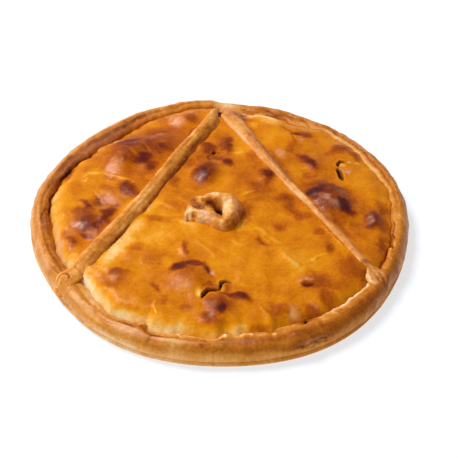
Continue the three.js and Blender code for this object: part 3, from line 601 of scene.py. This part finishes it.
# Paler places, given in the same way. The spots at (-82, 72) and (62, -131) are painted highlights.
PALE = [
    (-121, 46, 10, 5, 15, 0.1), (42, 139, 14, 5, -22, 0.3), (57, 80, 6, 7, 0, 0.08), (20, 86, 8, 7, 0, 0.1),
    (25, -68, 46, 30, 10, 0.06), (114.5, 66, 2, 3, 0, 0.3), (-16.5, -112, 3, 4, 0, 0.34),
    (-5.5, -90, 3, 2.5, 0, 0.2), (4.5, -104.5, 2.4, 4, 0, 0.34), (-78, -33, 7, 18, -28, 0.27),
    (-93, -62, 9, 26, -28, 0.38), (-108, -84, 8, 12, -28, 0.14), (112, -44, 10, 10, 0, 0.14),
    (65, -70, 13, 20, 40, 0.1), (-146, 12, 9, 24, 8, 0.1), (50, 108, 14, 10, 0, 0.06),
    (22, 70, 7, 6, 0, 0.1), (-5, 18, 14, 10, 0, 0.06), (17, -31, 7, 5, -20, 0.2),
    (-24, -28, 9, 5, -30, 0.14), (-55, -40, 16, 8, -20, 0.1), (50, 28, 7, 6, 0, 0.08),
    (-60, -48, 22, 14, -40, 0.15), (-40, -62, 12, 12, 0, 0.08), (20, -24, 9, 8, 0, 0.18),
    (42, -36, 12, 9, -35, 0.12), (76, -68, 18, 14, 0, 0.16), (-45, -42, 14, 8, -20, 0.12),
    (130, 42, 16, 14, 0, 0.1), (22, 92, 12, 14, 0, 0.1), (9, 82, 5, 6, 0, 0.12), (-63, -4, 6, 14, -28, 0.2),
    (105, -82, 10, 10, 0, 0.12), (-106, -32, 5, 5, 0, 0.2), (-55, -14, 20, 9, -10, 0.15),
    (-80, -6, 9, 14, -28, 0.22), (-28, -36, 14, 8, -20, 0.1), (24, -26, 11, 10, -20, 0.22),
    (34, -42, 10, 6, -30, 0.14), (-28, -15, 8, 8, 0, 0.16), (-55, -30, 12, 6, 0, 0.14),
    (16, -100, 6, 5, 0, 0.14), (54, -56, 9, 6, -30, 0.12), (66, -80, 14, 7, -45, 0.16),
    (-121, 92, 9, 5, 42, 0.24), (-104, 96, 9, 6, 45, 0.3), (-33, -25, 9, 4.5, -15, 0.22),
    (62, -131, 2.6, 6, 10, 0.2), (0, 38, 12, 9, 0, 0.1), (57, 110, 10, 10, 0, 0.12),
    (14, 82, 8, 10, 0, 0.16), (45, 133, 16, 8, -20, 0.2), (27, 126, 6, 5, 0, 0.2), (-82, 72, 8, 8, 0, 0.16),
    (-62, 94, 8, 7, 0, 0.16), (-44, -78, 5, 8, 0, 0.18)]
# Dull pink on a few thin flaps of skin and, mostly, painted highlights on the blisters, given like the
# browning.
PINK_AND_PAINTED_HIGHLIGHTS = [
    (-104, 52, 4.5, 13, -5, 0.52), (-46, 126, 8, 8, 0, 0.5), (-104, 6, 11, 6, -50, 0.3),
    (-130, -30, 7, 4.5, -30, 0.55), (-22, 37, 2.5, 4.5, -20, 0.36), (-89, 13, 4, 5, 0, 0.35),
    (92, 16, 5, 3, -30, 0.2), (97, 11, 8, 4.5, -45, 0.32), (103, 5, 5, 3, -60, 0.2),
    (135, -12, 2.5, 8, -5, 0.26), (76, -94, 6, 2, 0, 0.6), (-30, -106, 7, 5, 10, 0.18),
    (118, 57.5, 3, 4, 0, 0.5), (121, 72, 3, 1.8, 0, 0.4), (-5.5, -90, 3.5, 3, 0, 0.55),
    (-146, -47, 4, 18, 12, 0.4), (57, 80, 5, 6, 0, 0.3), (76, 100, 3, 5, 0, 0.3),
    (62, -131, 3.2, 7, 10, 0.34), (66, -130, 2.2, 5, 20, 0.26), (82, -122, 3, 3, 20, 0.16)]
# How much paler the sheet is along its edge, where the rim kept the heat off it, and how far in that reaches.
PALE_REACH = 9
PALE_EDGE = [
    (0, 0.06), (50, 0.12), (62, 0.26), (78, 0.3), (86, 0.1), (95, 0.05), (134, 0.14), (143, 0.3),
    (152, 0.22), (165, 0.28), (190, 0.3), (205, 0.34), (218, 0.44), (232, 0.42), (240, 0.36), (252, 0.5),
    (264, 0.2), (274, 0.3), (284, 0.12), (297, 0.1), (304, 0.04), (314, 0.04), (328, 0.02), (340, 0.02)]


def lid_height(x, y):
    """Height of the top sheet: (1 - (1 - t)^2)^e up from the crease to the shoulder, with e a half for a
    quarter ellipse and more where the sheet slopes gently, then a flat dome and oval blisters over it."""
    turn, radius = np.degrees(np.arctan2(y, x)), np.hypot(x, y)
    edge = rim_outline(turn) - fold_edge(turn)
    rounding = (1 - (1 - np.clip((edge - radius) / SHOULDER_RUN, 0, 1)) ** 2) ** eased(turn, EDGE_SLOPE)
    shoulder = SHOULDER_HEIGHT - eased(turn, LOW_EDGE)
    crown = (SHOULDER_HEIGHT + CROWN - shoulder) * (1 - (radius / edge) ** 2)
    foot = eased(turn, CREASE_HEIGHT) - CLEAR
    return foot + rounding * (shoulder - foot + crown + patch(x, y, BLISTERS))


# A square grid is bent into a disc: each square ring of points is a ring of the pie, crowded to the edge.
step = np.linspace(-1, 1, 2 * LID_CELLS + 1)
a, b = np.meshgrid(step, step, indexing="ij")
wide = np.abs(a) >= np.abs(b)
share = np.where(wide, np.abs(a), np.abs(b))
quarter = math.pi / 4
with np.errstate(divide="ignore", invalid="ignore"):
    lid_turn = np.where(wide, quarter * b / a + np.where(a < 0, math.pi, 0),
                        2 * quarter - quarter * a / b + np.where(b < 0, math.pi, 0))
lid_turn[LID_CELLS, LID_CELLS] = 0
share = (1 - EDGE_CROWDING) * share + EDGE_CROWDING * np.sin(share * math.pi / 2)
degrees = np.degrees(lid_turn)
lid_edge = rim_outline(degrees) - fold_edge(degrees)
x, y = share * lid_edge * np.cos(lid_turn), share * lid_edge * np.sin(lid_turn)
flat = np.stack([x, y, np.zeros_like(x)], -1)
inside = np.clip((1 - share) * lid_edge / CALM_EDGE, 0, 1)
z = lid_height(x, y)
z += inside * rough(flat, (0.9, 24, 21), (0.55, 10, 22), (0.2, 4.5, 23))
# Spots have ragged borders, so they are laid out on places that wander by a few mm, and lines wander less.
wander_x = rough(flat, (2.8, 10, 24), (1.2, 4, 25))
wander_y = rough(flat, (2.8, 10, 26), (1.2, 4, 27))
u, v = x + wander_x, y + wander_y
line_u, line_v = x + LINE_WANDER * wander_x, y + LINE_WANDER * wander_y
# Painted shade from some browned spots and painted highlights from some pale ones go into the same field.
browning_and_painted_light = (LID_TONE + rough(flat, (0.04, 40, 28), (0.05, 14, 29))
            + patch(u, v, BROWNED_AND_SHADED, fade=4, power=3) - patch(u, v, PALE, power=3))
# Dull pink on a few flaps and painted highlights on the blisters.
pink_and_painted_highlight = patch(u, v, PINK_AND_PAINTED_HIGHLIGHTS, power=3) * np.clip(1 + rough(flat, (0.9, 2.6, 30), (0.6, 6, 31)), 0.1, 1.9)
browning_and_painted_light -= (eased(degrees, PALE_EDGE) * np.exp(-((1 - share) * lid_edge / PALE_REACH) ** 2)
             * (1 + rough(flat, (0.35, 16, 32), (0.1, 6, 33))))
wrinkle_relief, wrinkle_tone = pressed(line_u, line_v, WRINKLES)
z += wrinkle_relief
browning_and_painted_light += wrinkle_tone
open_split = np.zeros_like(x)
for width, points in SPLITS:
    away, part = from_line(line_u, line_v, points)
    taper = np.clip(5 * part, 0.15, 1) * np.clip(5 * (1 - part), 0.15, 1)
    gap = np.exp(-(away / (width * taper)) ** 4)
    lip = np.exp(-((away - 1.7 * width) / 1.4) ** 2) * taper
    z += SPLIT_LIP * lip - SPLIT_DEPTH * gap * taper
    open_split = np.maximum(open_split, np.sqrt(gap))
    browning_and_painted_light -= 0.1 * lip
count = 2 * LID_CELLS + 1
number = np.arange(count * count).reshape(count, count)
top_faces = np.stack([number[:-1, :-1], number[1:, :-1], number[1:, 1:], number[:-1, 1:]], -1).reshape(-1, 4)
border = np.concatenate([number[:-1, 0], number[-1, :-1], number[:0:-1, -1], number[0, :0:-1]])
below = count * count + np.arange(len(border))
skirt = np.stack([border, below, np.roll(below, -1), np.roll(border, -1)], -1)
floor_fan = np.stack([np.full(len(border), count * count + len(border)), np.roll(below, -1), below], -1)
lid = np.stack([x, y, z], -1).reshape(-1, 3)
foot_ring = lid[border] * [FOOT_SHARE, FOOT_SHARE, 0] + [0, 0, BASE_SHEET + CLEAR]
lid_points = np.concatenate([lid, foot_ring, [(0, 0, BASE_SHEET + CLEAR)]])
extra = len(lid_points) - len(lid)
lid_faces = top_faces.tolist() + skirt.tolist() + floor_fan.tolist()
top_crust = dough_piece("top_crust_baked", lid_points, lid_faces,
                        {"browning_and_painted_light": np.concatenate([browning_and_painted_light.ravel(), np.full(extra, HIDDEN_TONE)]),
                         "pink_and_painted_highlight": np.concatenate([pink_and_painted_highlight.ravel(), np.zeros(extra)]),
                         "filling": np.concatenate([open_split.ravel(), np.zeros(extra)])})
# Under egg wash the same dough is a deeper amber, and its blisters scorch to a dark red brown.
WASHED_TONES = [
    (0.0, "#F6DBA8"), (0.12, "#F0C278"), (0.24, "#EBA63E"), (0.34, "#E2900A"), (0.44, "#D67F00"),
    (0.54, "#C66C00"), (0.65, "#AE5500"), (0.76, "#8F3E00"), (0.87, "#6E2406"), (0.95, "#581810"),
    (1.0, "#421418")]
lid_dough = baked_dough("egg_washed_blistered_crust", WASHED_TONES, roughness=0.32, blotch=0.36, grain=0.32)
# Inside a split the moist filling is dark and takes no light.
tree = lid_dough.node_tree
shader = tree.nodes["Principled BSDF"]
opened = add(tree, "ShaderNodeAttribute", attribute_name="filling").outputs["Fac"]
crust_colour = shader.inputs["Base Color"].links[0].from_socket
shown = add(tree, "ShaderNodeMix", {0: opened, 6: crust_colour, 7: linear("#200E06")}, data_type="RGBA")
tree.links.new(shown.outputs[2], shader.inputs["Base Color"])
crust_sheen = shader.inputs["Roughness"].links[0].from_socket
matt = add(tree, "ShaderNodeMix", {0: opened, 2: crust_sheen, 3: 0.95})
tree.links.new(matt.outputs[0], shader.inputs["Roughness"])
top_crust.data.materials.append(lid_dough)
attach(top_crust, "root")
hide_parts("top_crust")

# Strips: two hand-rolled ropes of the same dough, laid on the top sheet as a V before baking. Their ends are
# pressed onto the rim with a finger.
STRIP_STEPS = 520
STRIP_SIDES = 56
STRIP_SINK = 3.2
STRIP_CLIMB = 15
TIP_TONE = 0.45
# Size of the marks of rolling, and the number of steps over which a rope bridges dips.
ROLLED_LENGTH = 16
ROLLED_WIDTH = 2.2
BRIDGED = 15
# Each strip's path: place, width and rise over the sheet.
LEFT_STRIP = [
    (-4.4, 155, 4, 2.5), (-6.5, 148, 5, 3.4), (-8.6, 142, 6.5, 4.4), (-11, 132, 12, 5.8),
    (-14, 119.5, 15, 6.5), (-44.4, 60.5, 15, 6.5), (-73, 0.8, 15.5, 6.5), (-106, -56, 16, 6),
    (-121, -80, 16.5, 5), (-130, -90, 17.5, 3.8), (-136, -94.5, 19, 3.2), (-143, -99.4, 19, 3)]
RIGHT_STRIP = [
    (-0.5, 151, 17, 2), (3.5, 144.5, 18.5, 3.2), (9, 132.5, 18, 4), (15.2, 120, 16.5, 4.6),
    (31.2, 90.8, 13, 5), (48, 60, 11.2, 5), (66.6, 28.4, 8.8, 5), (85.4, 0.1, 7.9, 5),
    (109.4, -36.4, 7.7, 4.5), (122, -56, 7.8, 3.4), (127, -64, 8.5, 2.0), (130.5, -70, 12, 1.7),
    (133.5, -74.5, 18, 2.6), (138, -80, 18.5, 2.3), (144.5, -86.5, 17, 1.3)]
# Lines and pits in the strips: half width, height, browning and the points that they pass. The left strip's
# end is rolled up on itself, so its line is a spiral. The right one's end is pinched.
CURL = np.linspace(0, 1, 28)[:, None]
CURL = [-136, -94.5] + (1 + 6.4 * CURL) * np.hstack([np.cos(10 * CURL + 0.6), np.sin(10 * CURL + 0.6)])
LEFT_MARKS = [
    (1.0, -1.2, 0.3, CURL), (6, 0, -0.1, [(-60, 26), (-86, -22)]),
    # The two flat lines below are painted shade on the strip's shaded right flank.
    (3.4, 0, 0.24, [(-6, 130), (-8.6, 124), (-38.6, 60.4), (-54.6, 24.4), (-66, 0)]),
    (2.0, 0, 0.24, [(-70, -8), (-76, -20.5), (-112, -81.5)]),
    (1.4, -1.0, 0.2, [(-118, -92), (-123, -85), (-130, -79)]),
    (0.8, -0.4, 0.1, [(-20, 112), (-46, 60), (-60, 30)]),
    (0.8, -0.4, 0.1, [(-70, 8), (-92, -32), (-108, -60)])]
RIGHT_MARKS = [
    # The first line is painted shade along the strip's shaded right half, and the second a painted highlight
    # along its lit left edge. The wide patch near the top, the gap before the pressed end and the line along
    # the upper edge further down are painted shade too.
    (2.8, 0, 0.3, [(17.5, 121), (33, 92), (50, 61), (68.5, 29.5), (87, 1), (111, -35.5), (120.5, -50.5)]),
    (1.5, 0, -0.06, [(29.5, 90), (46.5, 59), (65, 27.5), (83.5, -1), (107.5, -37.5), (119, -56)]),
    (7, 0, 0.14, [(3, 148), (12, 128)]), (1.6, -1.8, 0.3, [(143, -79), (145, -84), (142, -88)]),
    (1.2, -1.2, 0.24, [(139, -82), (141, -86)]), (1.4, 0.9, -0.3, [(131, -73), (131, -80), (133, -87)]),
    (2.4, 0, 0.3, [(123, -67), (128, -66), (133, -63)]), (1.0, -0.8, 0.24, [(136, -76), (138, -80)]),
    (1.0, -0.8, 0.24, [(140, -76), (143, -79)]), (5, 0, 0.12, [(138, -78), (145, -84)]),
    (0.8, -0.4, 0.12, [(22, 106), (46, 62), (66, 30)]), (1.3, -0.8, 0.3, [(25, 104), (28, 99)]),
    (2.4, -0.3, 0.16, [(10, 144), (16, 134), (22, 122)]),
    (0.8, -0.4, 0.12, [(80, 8), (98, -20), (114, -44)])]
# The share of a rope's length that each end takes to round off, and the slope of the side pressed down.
STRIP_ENDS = (0.012, 0.03)
PRESSED_SLOPE = 0.42


def pie_height(x, y):
    """Height that a strip lies on: the top sheet, rising to the crest of the rim over a short climb before
    the crease, and the rim's own section beyond its crest."""
    turn, radius = np.degrees(np.arctan2(y, x)), np.hypot(x, y)
    inset = rim_outline(turn) - radius
    out = np.clip((STRIP_CLIMB + fold_edge(turn) - inset) / STRIP_CLIMB, 0, 1)
    section = RIM_SECTION[5:11]
    lift = eased(turn, CREST_RISE) * np.interp(inset, section[:, 0], section[:, 3])
    roll = np.interp(inset, section[:, 0], section[:, 1]) + lift - 0.4
    return lid_height(x, y) * (1 - out) + roll * out


def dough_roll(path, seed, lean, slopes, ends):
    """A rope of dough along a smooth path, rounded off at both ends, with hand-rolled thick and thin places.
    Across it the height is (1 - u^2)^e, with u the distance from the crest to either edge. The crest leans to
    the side by a share of the half width, and e, the slope, is a half for an oval and more for a softer foot,
    on one side and the other. Where the last end is pressed down, its second side is steep."""
    line = through(len(path), STRIP_STEPS) @ np.array(path, float)
    ahead = np.gradient(line[:, :2], axis=0)
    ahead /= np.linalg.norm(ahead, axis=1, keepdims=True)
    aside = np.stack([-ahead[:, 1], ahead[:, 0]], -1)
    gone = np.concatenate([[0], np.cumsum(np.linalg.norm(np.diff(line[:, :2], axis=0), axis=1))])
    part = gone / gone[-1]
    close = np.minimum(part / ends[0], (1 - part) / ends[1])
    rounded = np.sqrt(1 - (1 - np.clip(close, 0.02, 1)) ** 2)
    middle = np.stack([line[:, 0], line[:, 1], np.zeros(STRIP_STEPS)], -1)
    thick = 1 + rough(middle, (0.06, 22, seed), (0.03, 9, seed + 1))
    half = line[:, 2] / 2 * (0.35 + 0.65 * rounded) * thick
    tall = line[:, 3] * rounded * thick
    base = pie_height(line[:, 0], line[:, 1])
    base = np.convolve(np.pad(base, BRIDGED // 2, mode="edge"), np.ones(BRIDGED) / BRIDGED, mode="valid")
    around = np.linspace(0, 2 * math.pi, STRIP_SIDES, endpoint=False)
    c, s = np.cos(around), np.sin(around)
    out = half[:, None] * c
    u = np.where(c < lean, (c - lean) / (1 + lean), (c - lean) / (1 - lean))
    right = slopes[1] + (PRESSED_SLOPE - slopes[1]) * np.clip((part[:, None] - 0.9) / 0.05, 0, 1)
    oval = np.maximum(1 - u**2, 0) ** np.where(c < lean, slopes[0], right)
    up = np.where(s >= 0, tall[:, None] * oval, STRIP_SINK * rounded[:, None] * s)
    grid = np.stack([line[:, :1] + aside[:, :1] * out, line[:, 1:2] + aside[:, 1:2] * out,
                     base[:, None] + up], -1)
    rolled_place = [gone[:, None] / ROLLED_LENGTH + 0 * out, out / ROLLED_WIDTH, np.sign(s) + 0 * out]
    rolled = lumps(np.stack(rolled_place, -1), 1, seed + 7)
    bumps = rough(grid, (0.3, 7, seed + 2), (0.22, 3.2, seed + 3)) + 0.3 * rolled
    grid += outward(grid) * bumps[..., None]
    tips = np.stack([grid[0].mean(0), grid[-1].mean(0)])
    return grid, tips, up > 0, c + 0 * up, rolled


def strip_of_dough(name, node, path, marks, lean, slopes, tone, pink, seed):
    """One strip as an object, with a painted highlight along its lit edge, and painted shade, partly
    browning, along the foot of its other side.
    """
    grid, tips, top, side, rolled = dough_roll(path, seed, lean, slopes, STRIP_ENDS)
    u = grid[..., 0] + 0.6 * lumps(grid, 4, seed + 8)
    v = grid[..., 1] + 0.6 * lumps(grid, 4, seed + 9)
    relief, browning_and_painted_light = pressed(u, v, marks, 0.3)
    grid[..., 2] += relief * top
    flecks = 0.12 * np.clip(lumps(grid, 1.9, seed + 10) - 0.25, 0, 1)
    # Painted shade, partly browning, along the foot of the shaded side, and a painted highlight along the lit
    # edge.
    foot = 0.14 * np.clip(side, 0, 1) ** 2
    lit_edge_highlight = 0.2 * np.exp(-((side + 0.86) / 0.14) ** 2)
    browning_and_painted_light += (tone + rough(grid, (0.06, 26, seed + 4), (0.06, 9, seed + 5), (0.11, 3, seed + 6))
                 + 0.13 * rolled + flecks + foot - lit_edge_highlight)
    strip = dough_piece(name, np.concatenate([grid.reshape(-1, 3), tips]), skin(*grid.shape[:2]),
                        {"browning_and_painted_light": np.concatenate([browning_and_painted_light.ravel(), [TIP_TONE, TIP_TONE]]),
                         "pink_and_painted_highlight": np.full(browning_and_painted_light.size + 2, pink)})
    strip.data.materials.append(strip_dough)
    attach(strip, "root")
    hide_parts(node)
    return strip


# The ropes caught a little egg wash, so they bake to a clearer orange than the rim.
ROPE_TONES = [
    (0.0, "#F2CF9C"), (0.15, "#ECB068"), (0.3, "#DE953F"), (0.45, "#CA7B25"), (0.58, "#B46518"),
    (0.7, "#9C5010"), (0.82, "#80390B"), (0.92, "#5E2908"), (1.0, "#351406")]
strip_dough = baked_dough("hand_rolled_strip_crust", ROPE_TONES, roughness=0.46, blotch=0.26, grain=0.36)
strip_of_dough("strip_left_baked", "strip_left", LEFT_STRIP, LEFT_MARKS,
               lean=-0.4, slopes=(0.5, 0.85), tone=0.35, pink=0.02, seed=41)
strip_of_dough("strip_right_baked", "strip_right", RIGHT_STRIP, RIGHT_MARKS,
               lean=-0.1, slopes=(0.55, 0.75), tone=0.36, pink=0.12, seed=51)

# Loop: one short rope of dough laid near the middle of the top sheet. One end is pressed out flat like a fan,
# and the rest goes round in a ring until its pointed tip rests against the fan. Path as for the strips.
LOOP_STRIP = [
    (-31.5, -5.5, 36, 4), (-25, -7, 35, 8), (-18, -13, 26, 8.5), (-8, -22, 13.5, 9), (2, -28.5, 13, 10),
    (8.2, -23, 15.5, 11.5), (10.8, -11.8, 18, 12), (8, -3.4, 18.2, 12), (0, -0.4, 17.4, 12.5),
    (-9, -0.8, 16, 12.5), (-14, -2.2, 11.5, 12.5), (-18, -3.6, 6.5, 12.2), (-21, -4.6, 2.5, 11)]
LOOP_ENDS = (0.05, 0.03)
LOOP_VOXEL = 0.55
LOOP_TONE = 0.32
# Hollows and lips of the fan, as blisters are given, and tones of the loop. The dark tones in the fan's
# hollows, its pit and the ring's inner side are painted shade, and the pale ones on the tops are partly pale
# dough and partly painted highlights. Then the loop's painted highlights, dull pink.
LOOP_RELIEF = [
    (-26, 2, 4.5, 7, -10, -3.0), (-21, -11.5, 8, 3.5, -42, -2.6), (-33, -6, 2.2, 15, 5, 1.2),
    (-24, -21, 2.2, 2.6, 0, -4.4), (-15, -20, 9, 2.6, -36, 1.2)]
LOOP_TONES = [
    (-26, 1, 5, 8, 10, 0.34), (-21, -11, 8, 3.6, -42, 0.34), (-9, -8, 8, 4.5, -15, 0.4),
    (-16, -11, 6, 3, -35, 0.16), (-17, -3, 4, 3, -15, -0.14), (-28, -17, 7, 5, -30, -0.28),
    (0, -21, 5, 3, -30, 0.2), (-32, -7, 3, 17, 5, -0.14), (-24, -21, 2.6, 3, 0, 0.56),
    (-27, -25, 10, 4, -5, -0.2), (-16, -22, 10, 4, -36, -0.24), (9, -30, 8, 7, 25, 0.12),
    (-1, -26, 6, 4, -40, 0.16), (-9, 5, 14, 6, 0, -0.28), (4, -8, 4, 9, 10, -0.1),
    (19, -12, 4, 11, 0, 0.16), (13, 4, 6, 5, -40, 0.1)]
LOOP_PAINTED_HIGHLIGHTS = [
    (-13, -22, 10, 4, -36, 0.34), (-31, -7, 4, 17, 5, 0.1), (-6, 3, 14, 6, 0, 0.16),
    (12, -14, 6, 12, 0, 0.2)]
ropes, rope_tips, _, _, _ = dough_roll(LOOP_STRIP, seed=61, lean=0, slopes=(0.38, 0.38), ends=LOOP_ENDS)
rope = dough_piece("rope", np.concatenate([ropes.reshape(-1, 3), rope_tips]), skin(*ropes.shape[:2]), {})
joined = rope.modifiers.new("joined", "REMESH")
joined.mode = "VOXEL"
joined.voxel_size = LOOP_VOXEL * MM
softened = rope.modifiers.new("softened", "SMOOTH")
softened.iterations = 5
bpy.context.view_layer.update()
loop_mesh = bpy.data.meshes.new_from_object(rope.evaluated_get(bpy.context.evaluated_depsgraph_get()))
bpy.data.objects.remove(rope)
spots, facing = np.empty(len(loop_mesh.vertices) * 3), np.empty(len(loop_mesh.vertices) * 3)
loop_mesh.vertices.foreach_get("co", spots)
loop_mesh.vertices.foreach_get("normal", facing)
spots, facing = spots.reshape(-1, 3) / MM, facing.reshape(-1, 3)
x, y = spots[:, 0], spots[:, 1]
upper = np.clip(facing[:, 2], 0, 1)
spots[:, 2] += upper * patch(x, y, LOOP_RELIEF)
spots += facing * rough(spots, (0.5, 5, 83), (0.35, 2.4, 84))[:, None]
# Painted shade on the flank on the right and on the front, which face away from the light, and a painted
# highlight on the inner wall of the ring, which faces it.
shaded_flank = np.clip(facing @ (0.9, -0.4, 0), 0, 1) * np.clip((x - 4) / 8, 0, 1)
lit_inner_wall = np.clip(facing @ (-0.9, -0.3, 0.2), 0, 1) * np.clip((x + 2) / 4, 0, 1)
shaded_front = np.clip(-facing[:, 1] - 0.3, 0, 1) * (y > -12)
loop_browning_and_painted_light = (LOOP_TONE + rough(spots, (0.09, 11, 81), (0.13, 4, 82), (0.12, 2, 85)) + 0.2 * shaded_flank
                 - 0.3 * lit_inner_wall + 0.12 * shaded_front + patch(x, y, LOOP_TONES))
faces = [list(face.vertices) for face in loop_mesh.polygons]
dough_loop = dough_piece("dough_loop_baked", spots, faces,
                         {"browning_and_painted_light": loop_browning_and_painted_light, "pink_and_painted_highlight": patch(x, y, LOOP_PAINTED_HIGHLIGHTS)})
loop_dough = baked_dough("pale_rolled_loop_crust", ROPE_TONES, roughness=0.46, blotch=0.26, grain=0.36)
dough_loop.data.materials.append(loop_dough)
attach(dough_loop, "root")
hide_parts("dough_loop")

# Floor, light and camera: a white ground, a large soft light up to the left and white walls all round.
floor_mesh = bpy.data.meshes.new("floor")
floor_mesh.from_pydata([(-4, -4, 0), (4, -4, 0), (4, 4, 0), (-4, 4, 0)], [], [(0, 1, 2, 3)])
floor = bpy.data.objects.new("floor", floor_mesh)
bpy.context.collection.objects.link(floor)
paper = bpy.data.materials.new("white_paper")
paper.use_nodes = True
shader = paper.node_tree.nodes["Principled BSDF"]
shader.inputs["Base Color"].default_value = linear("#A2A8B2")
shader.inputs["Emission Color"].default_value = (1, 1, 1, 1)
shader.inputs["Emission Strength"].default_value = 0.62
shader.inputs["Roughness"].default_value = 0.9
floor_mesh.materials.append(paper)

room = bpy.data.worlds.new("white_room")
room.use_nodes = True
room.node_tree.nodes["Background"].inputs["Color"].default_value = (1, 1, 1, 1)
room.node_tree.nodes["Background"].inputs["Strength"].default_value = 0.34
bpy.context.scene.world = room


def soft_light(name, size, power, place):
    """Round area light of the given size in metres, turned to the pie."""
    lamp = bpy.data.lights.new(name, "AREA")
    lamp.shape = "DISK"
    lamp.size = size
    lamp.energy = power
    light = bpy.data.objects.new(name, lamp)
    light.location = place
    light.rotation_euler = (-light.location).to_track_quat("-Z", "Y").to_euler()
    bpy.context.collection.objects.link(light)


soft_light("soft_key", size=1.2, power=78, place=(-1.35, 0.95, 2.5))
soft_light("soft_fill", size=2.0, power=18, place=(-1.6, -1.9, 1.0))

# Camera angles over the ground and round the view, distance in metres and height of the point in the middle,
# the picture's size in pixels, its scale there in pixels to the mm, and how far off the middle the pie is.
CAMERA_HEIGHT = math.radians(41.8)
CAMERA_ROLL = math.radians(1.46)
CAMERA_AWAY = 1.4
AIM = 0.014
IMAGE = 458
IMAGE_SCALE = 1.0822
OFF_MIDDLE = (8.08, -10.16)
SENSOR = 36
camera = bpy.data.cameras.new("camera")
camera.sensor_width = SENSOR
camera.lens = SENSOR * IMAGE_SCALE * CAMERA_AWAY / MM / IMAGE
camera.shift_x = OFF_MIDDLE[0] / IMAGE
camera.shift_y = OFF_MIDDLE[1] / IMAGE
camera.clip_end = 20
viewer = bpy.data.objects.new("camera", camera)
viewer.location = (0, -CAMERA_AWAY * math.cos(CAMERA_HEIGHT), AIM + CAMERA_AWAY * math.sin(CAMERA_HEIGHT))
viewer.rotation_mode = "XYZ"
viewer.rotation_euler = (math.pi / 2 - CAMERA_HEIGHT, 0, 0)
viewer.rotation_euler.rotate_axis("Z", CAMERA_ROLL)
bpy.context.collection.objects.link(viewer)
bpy.context.scene.camera = viewer
bpy.context.scene.view_settings.view_transform = "Standard"
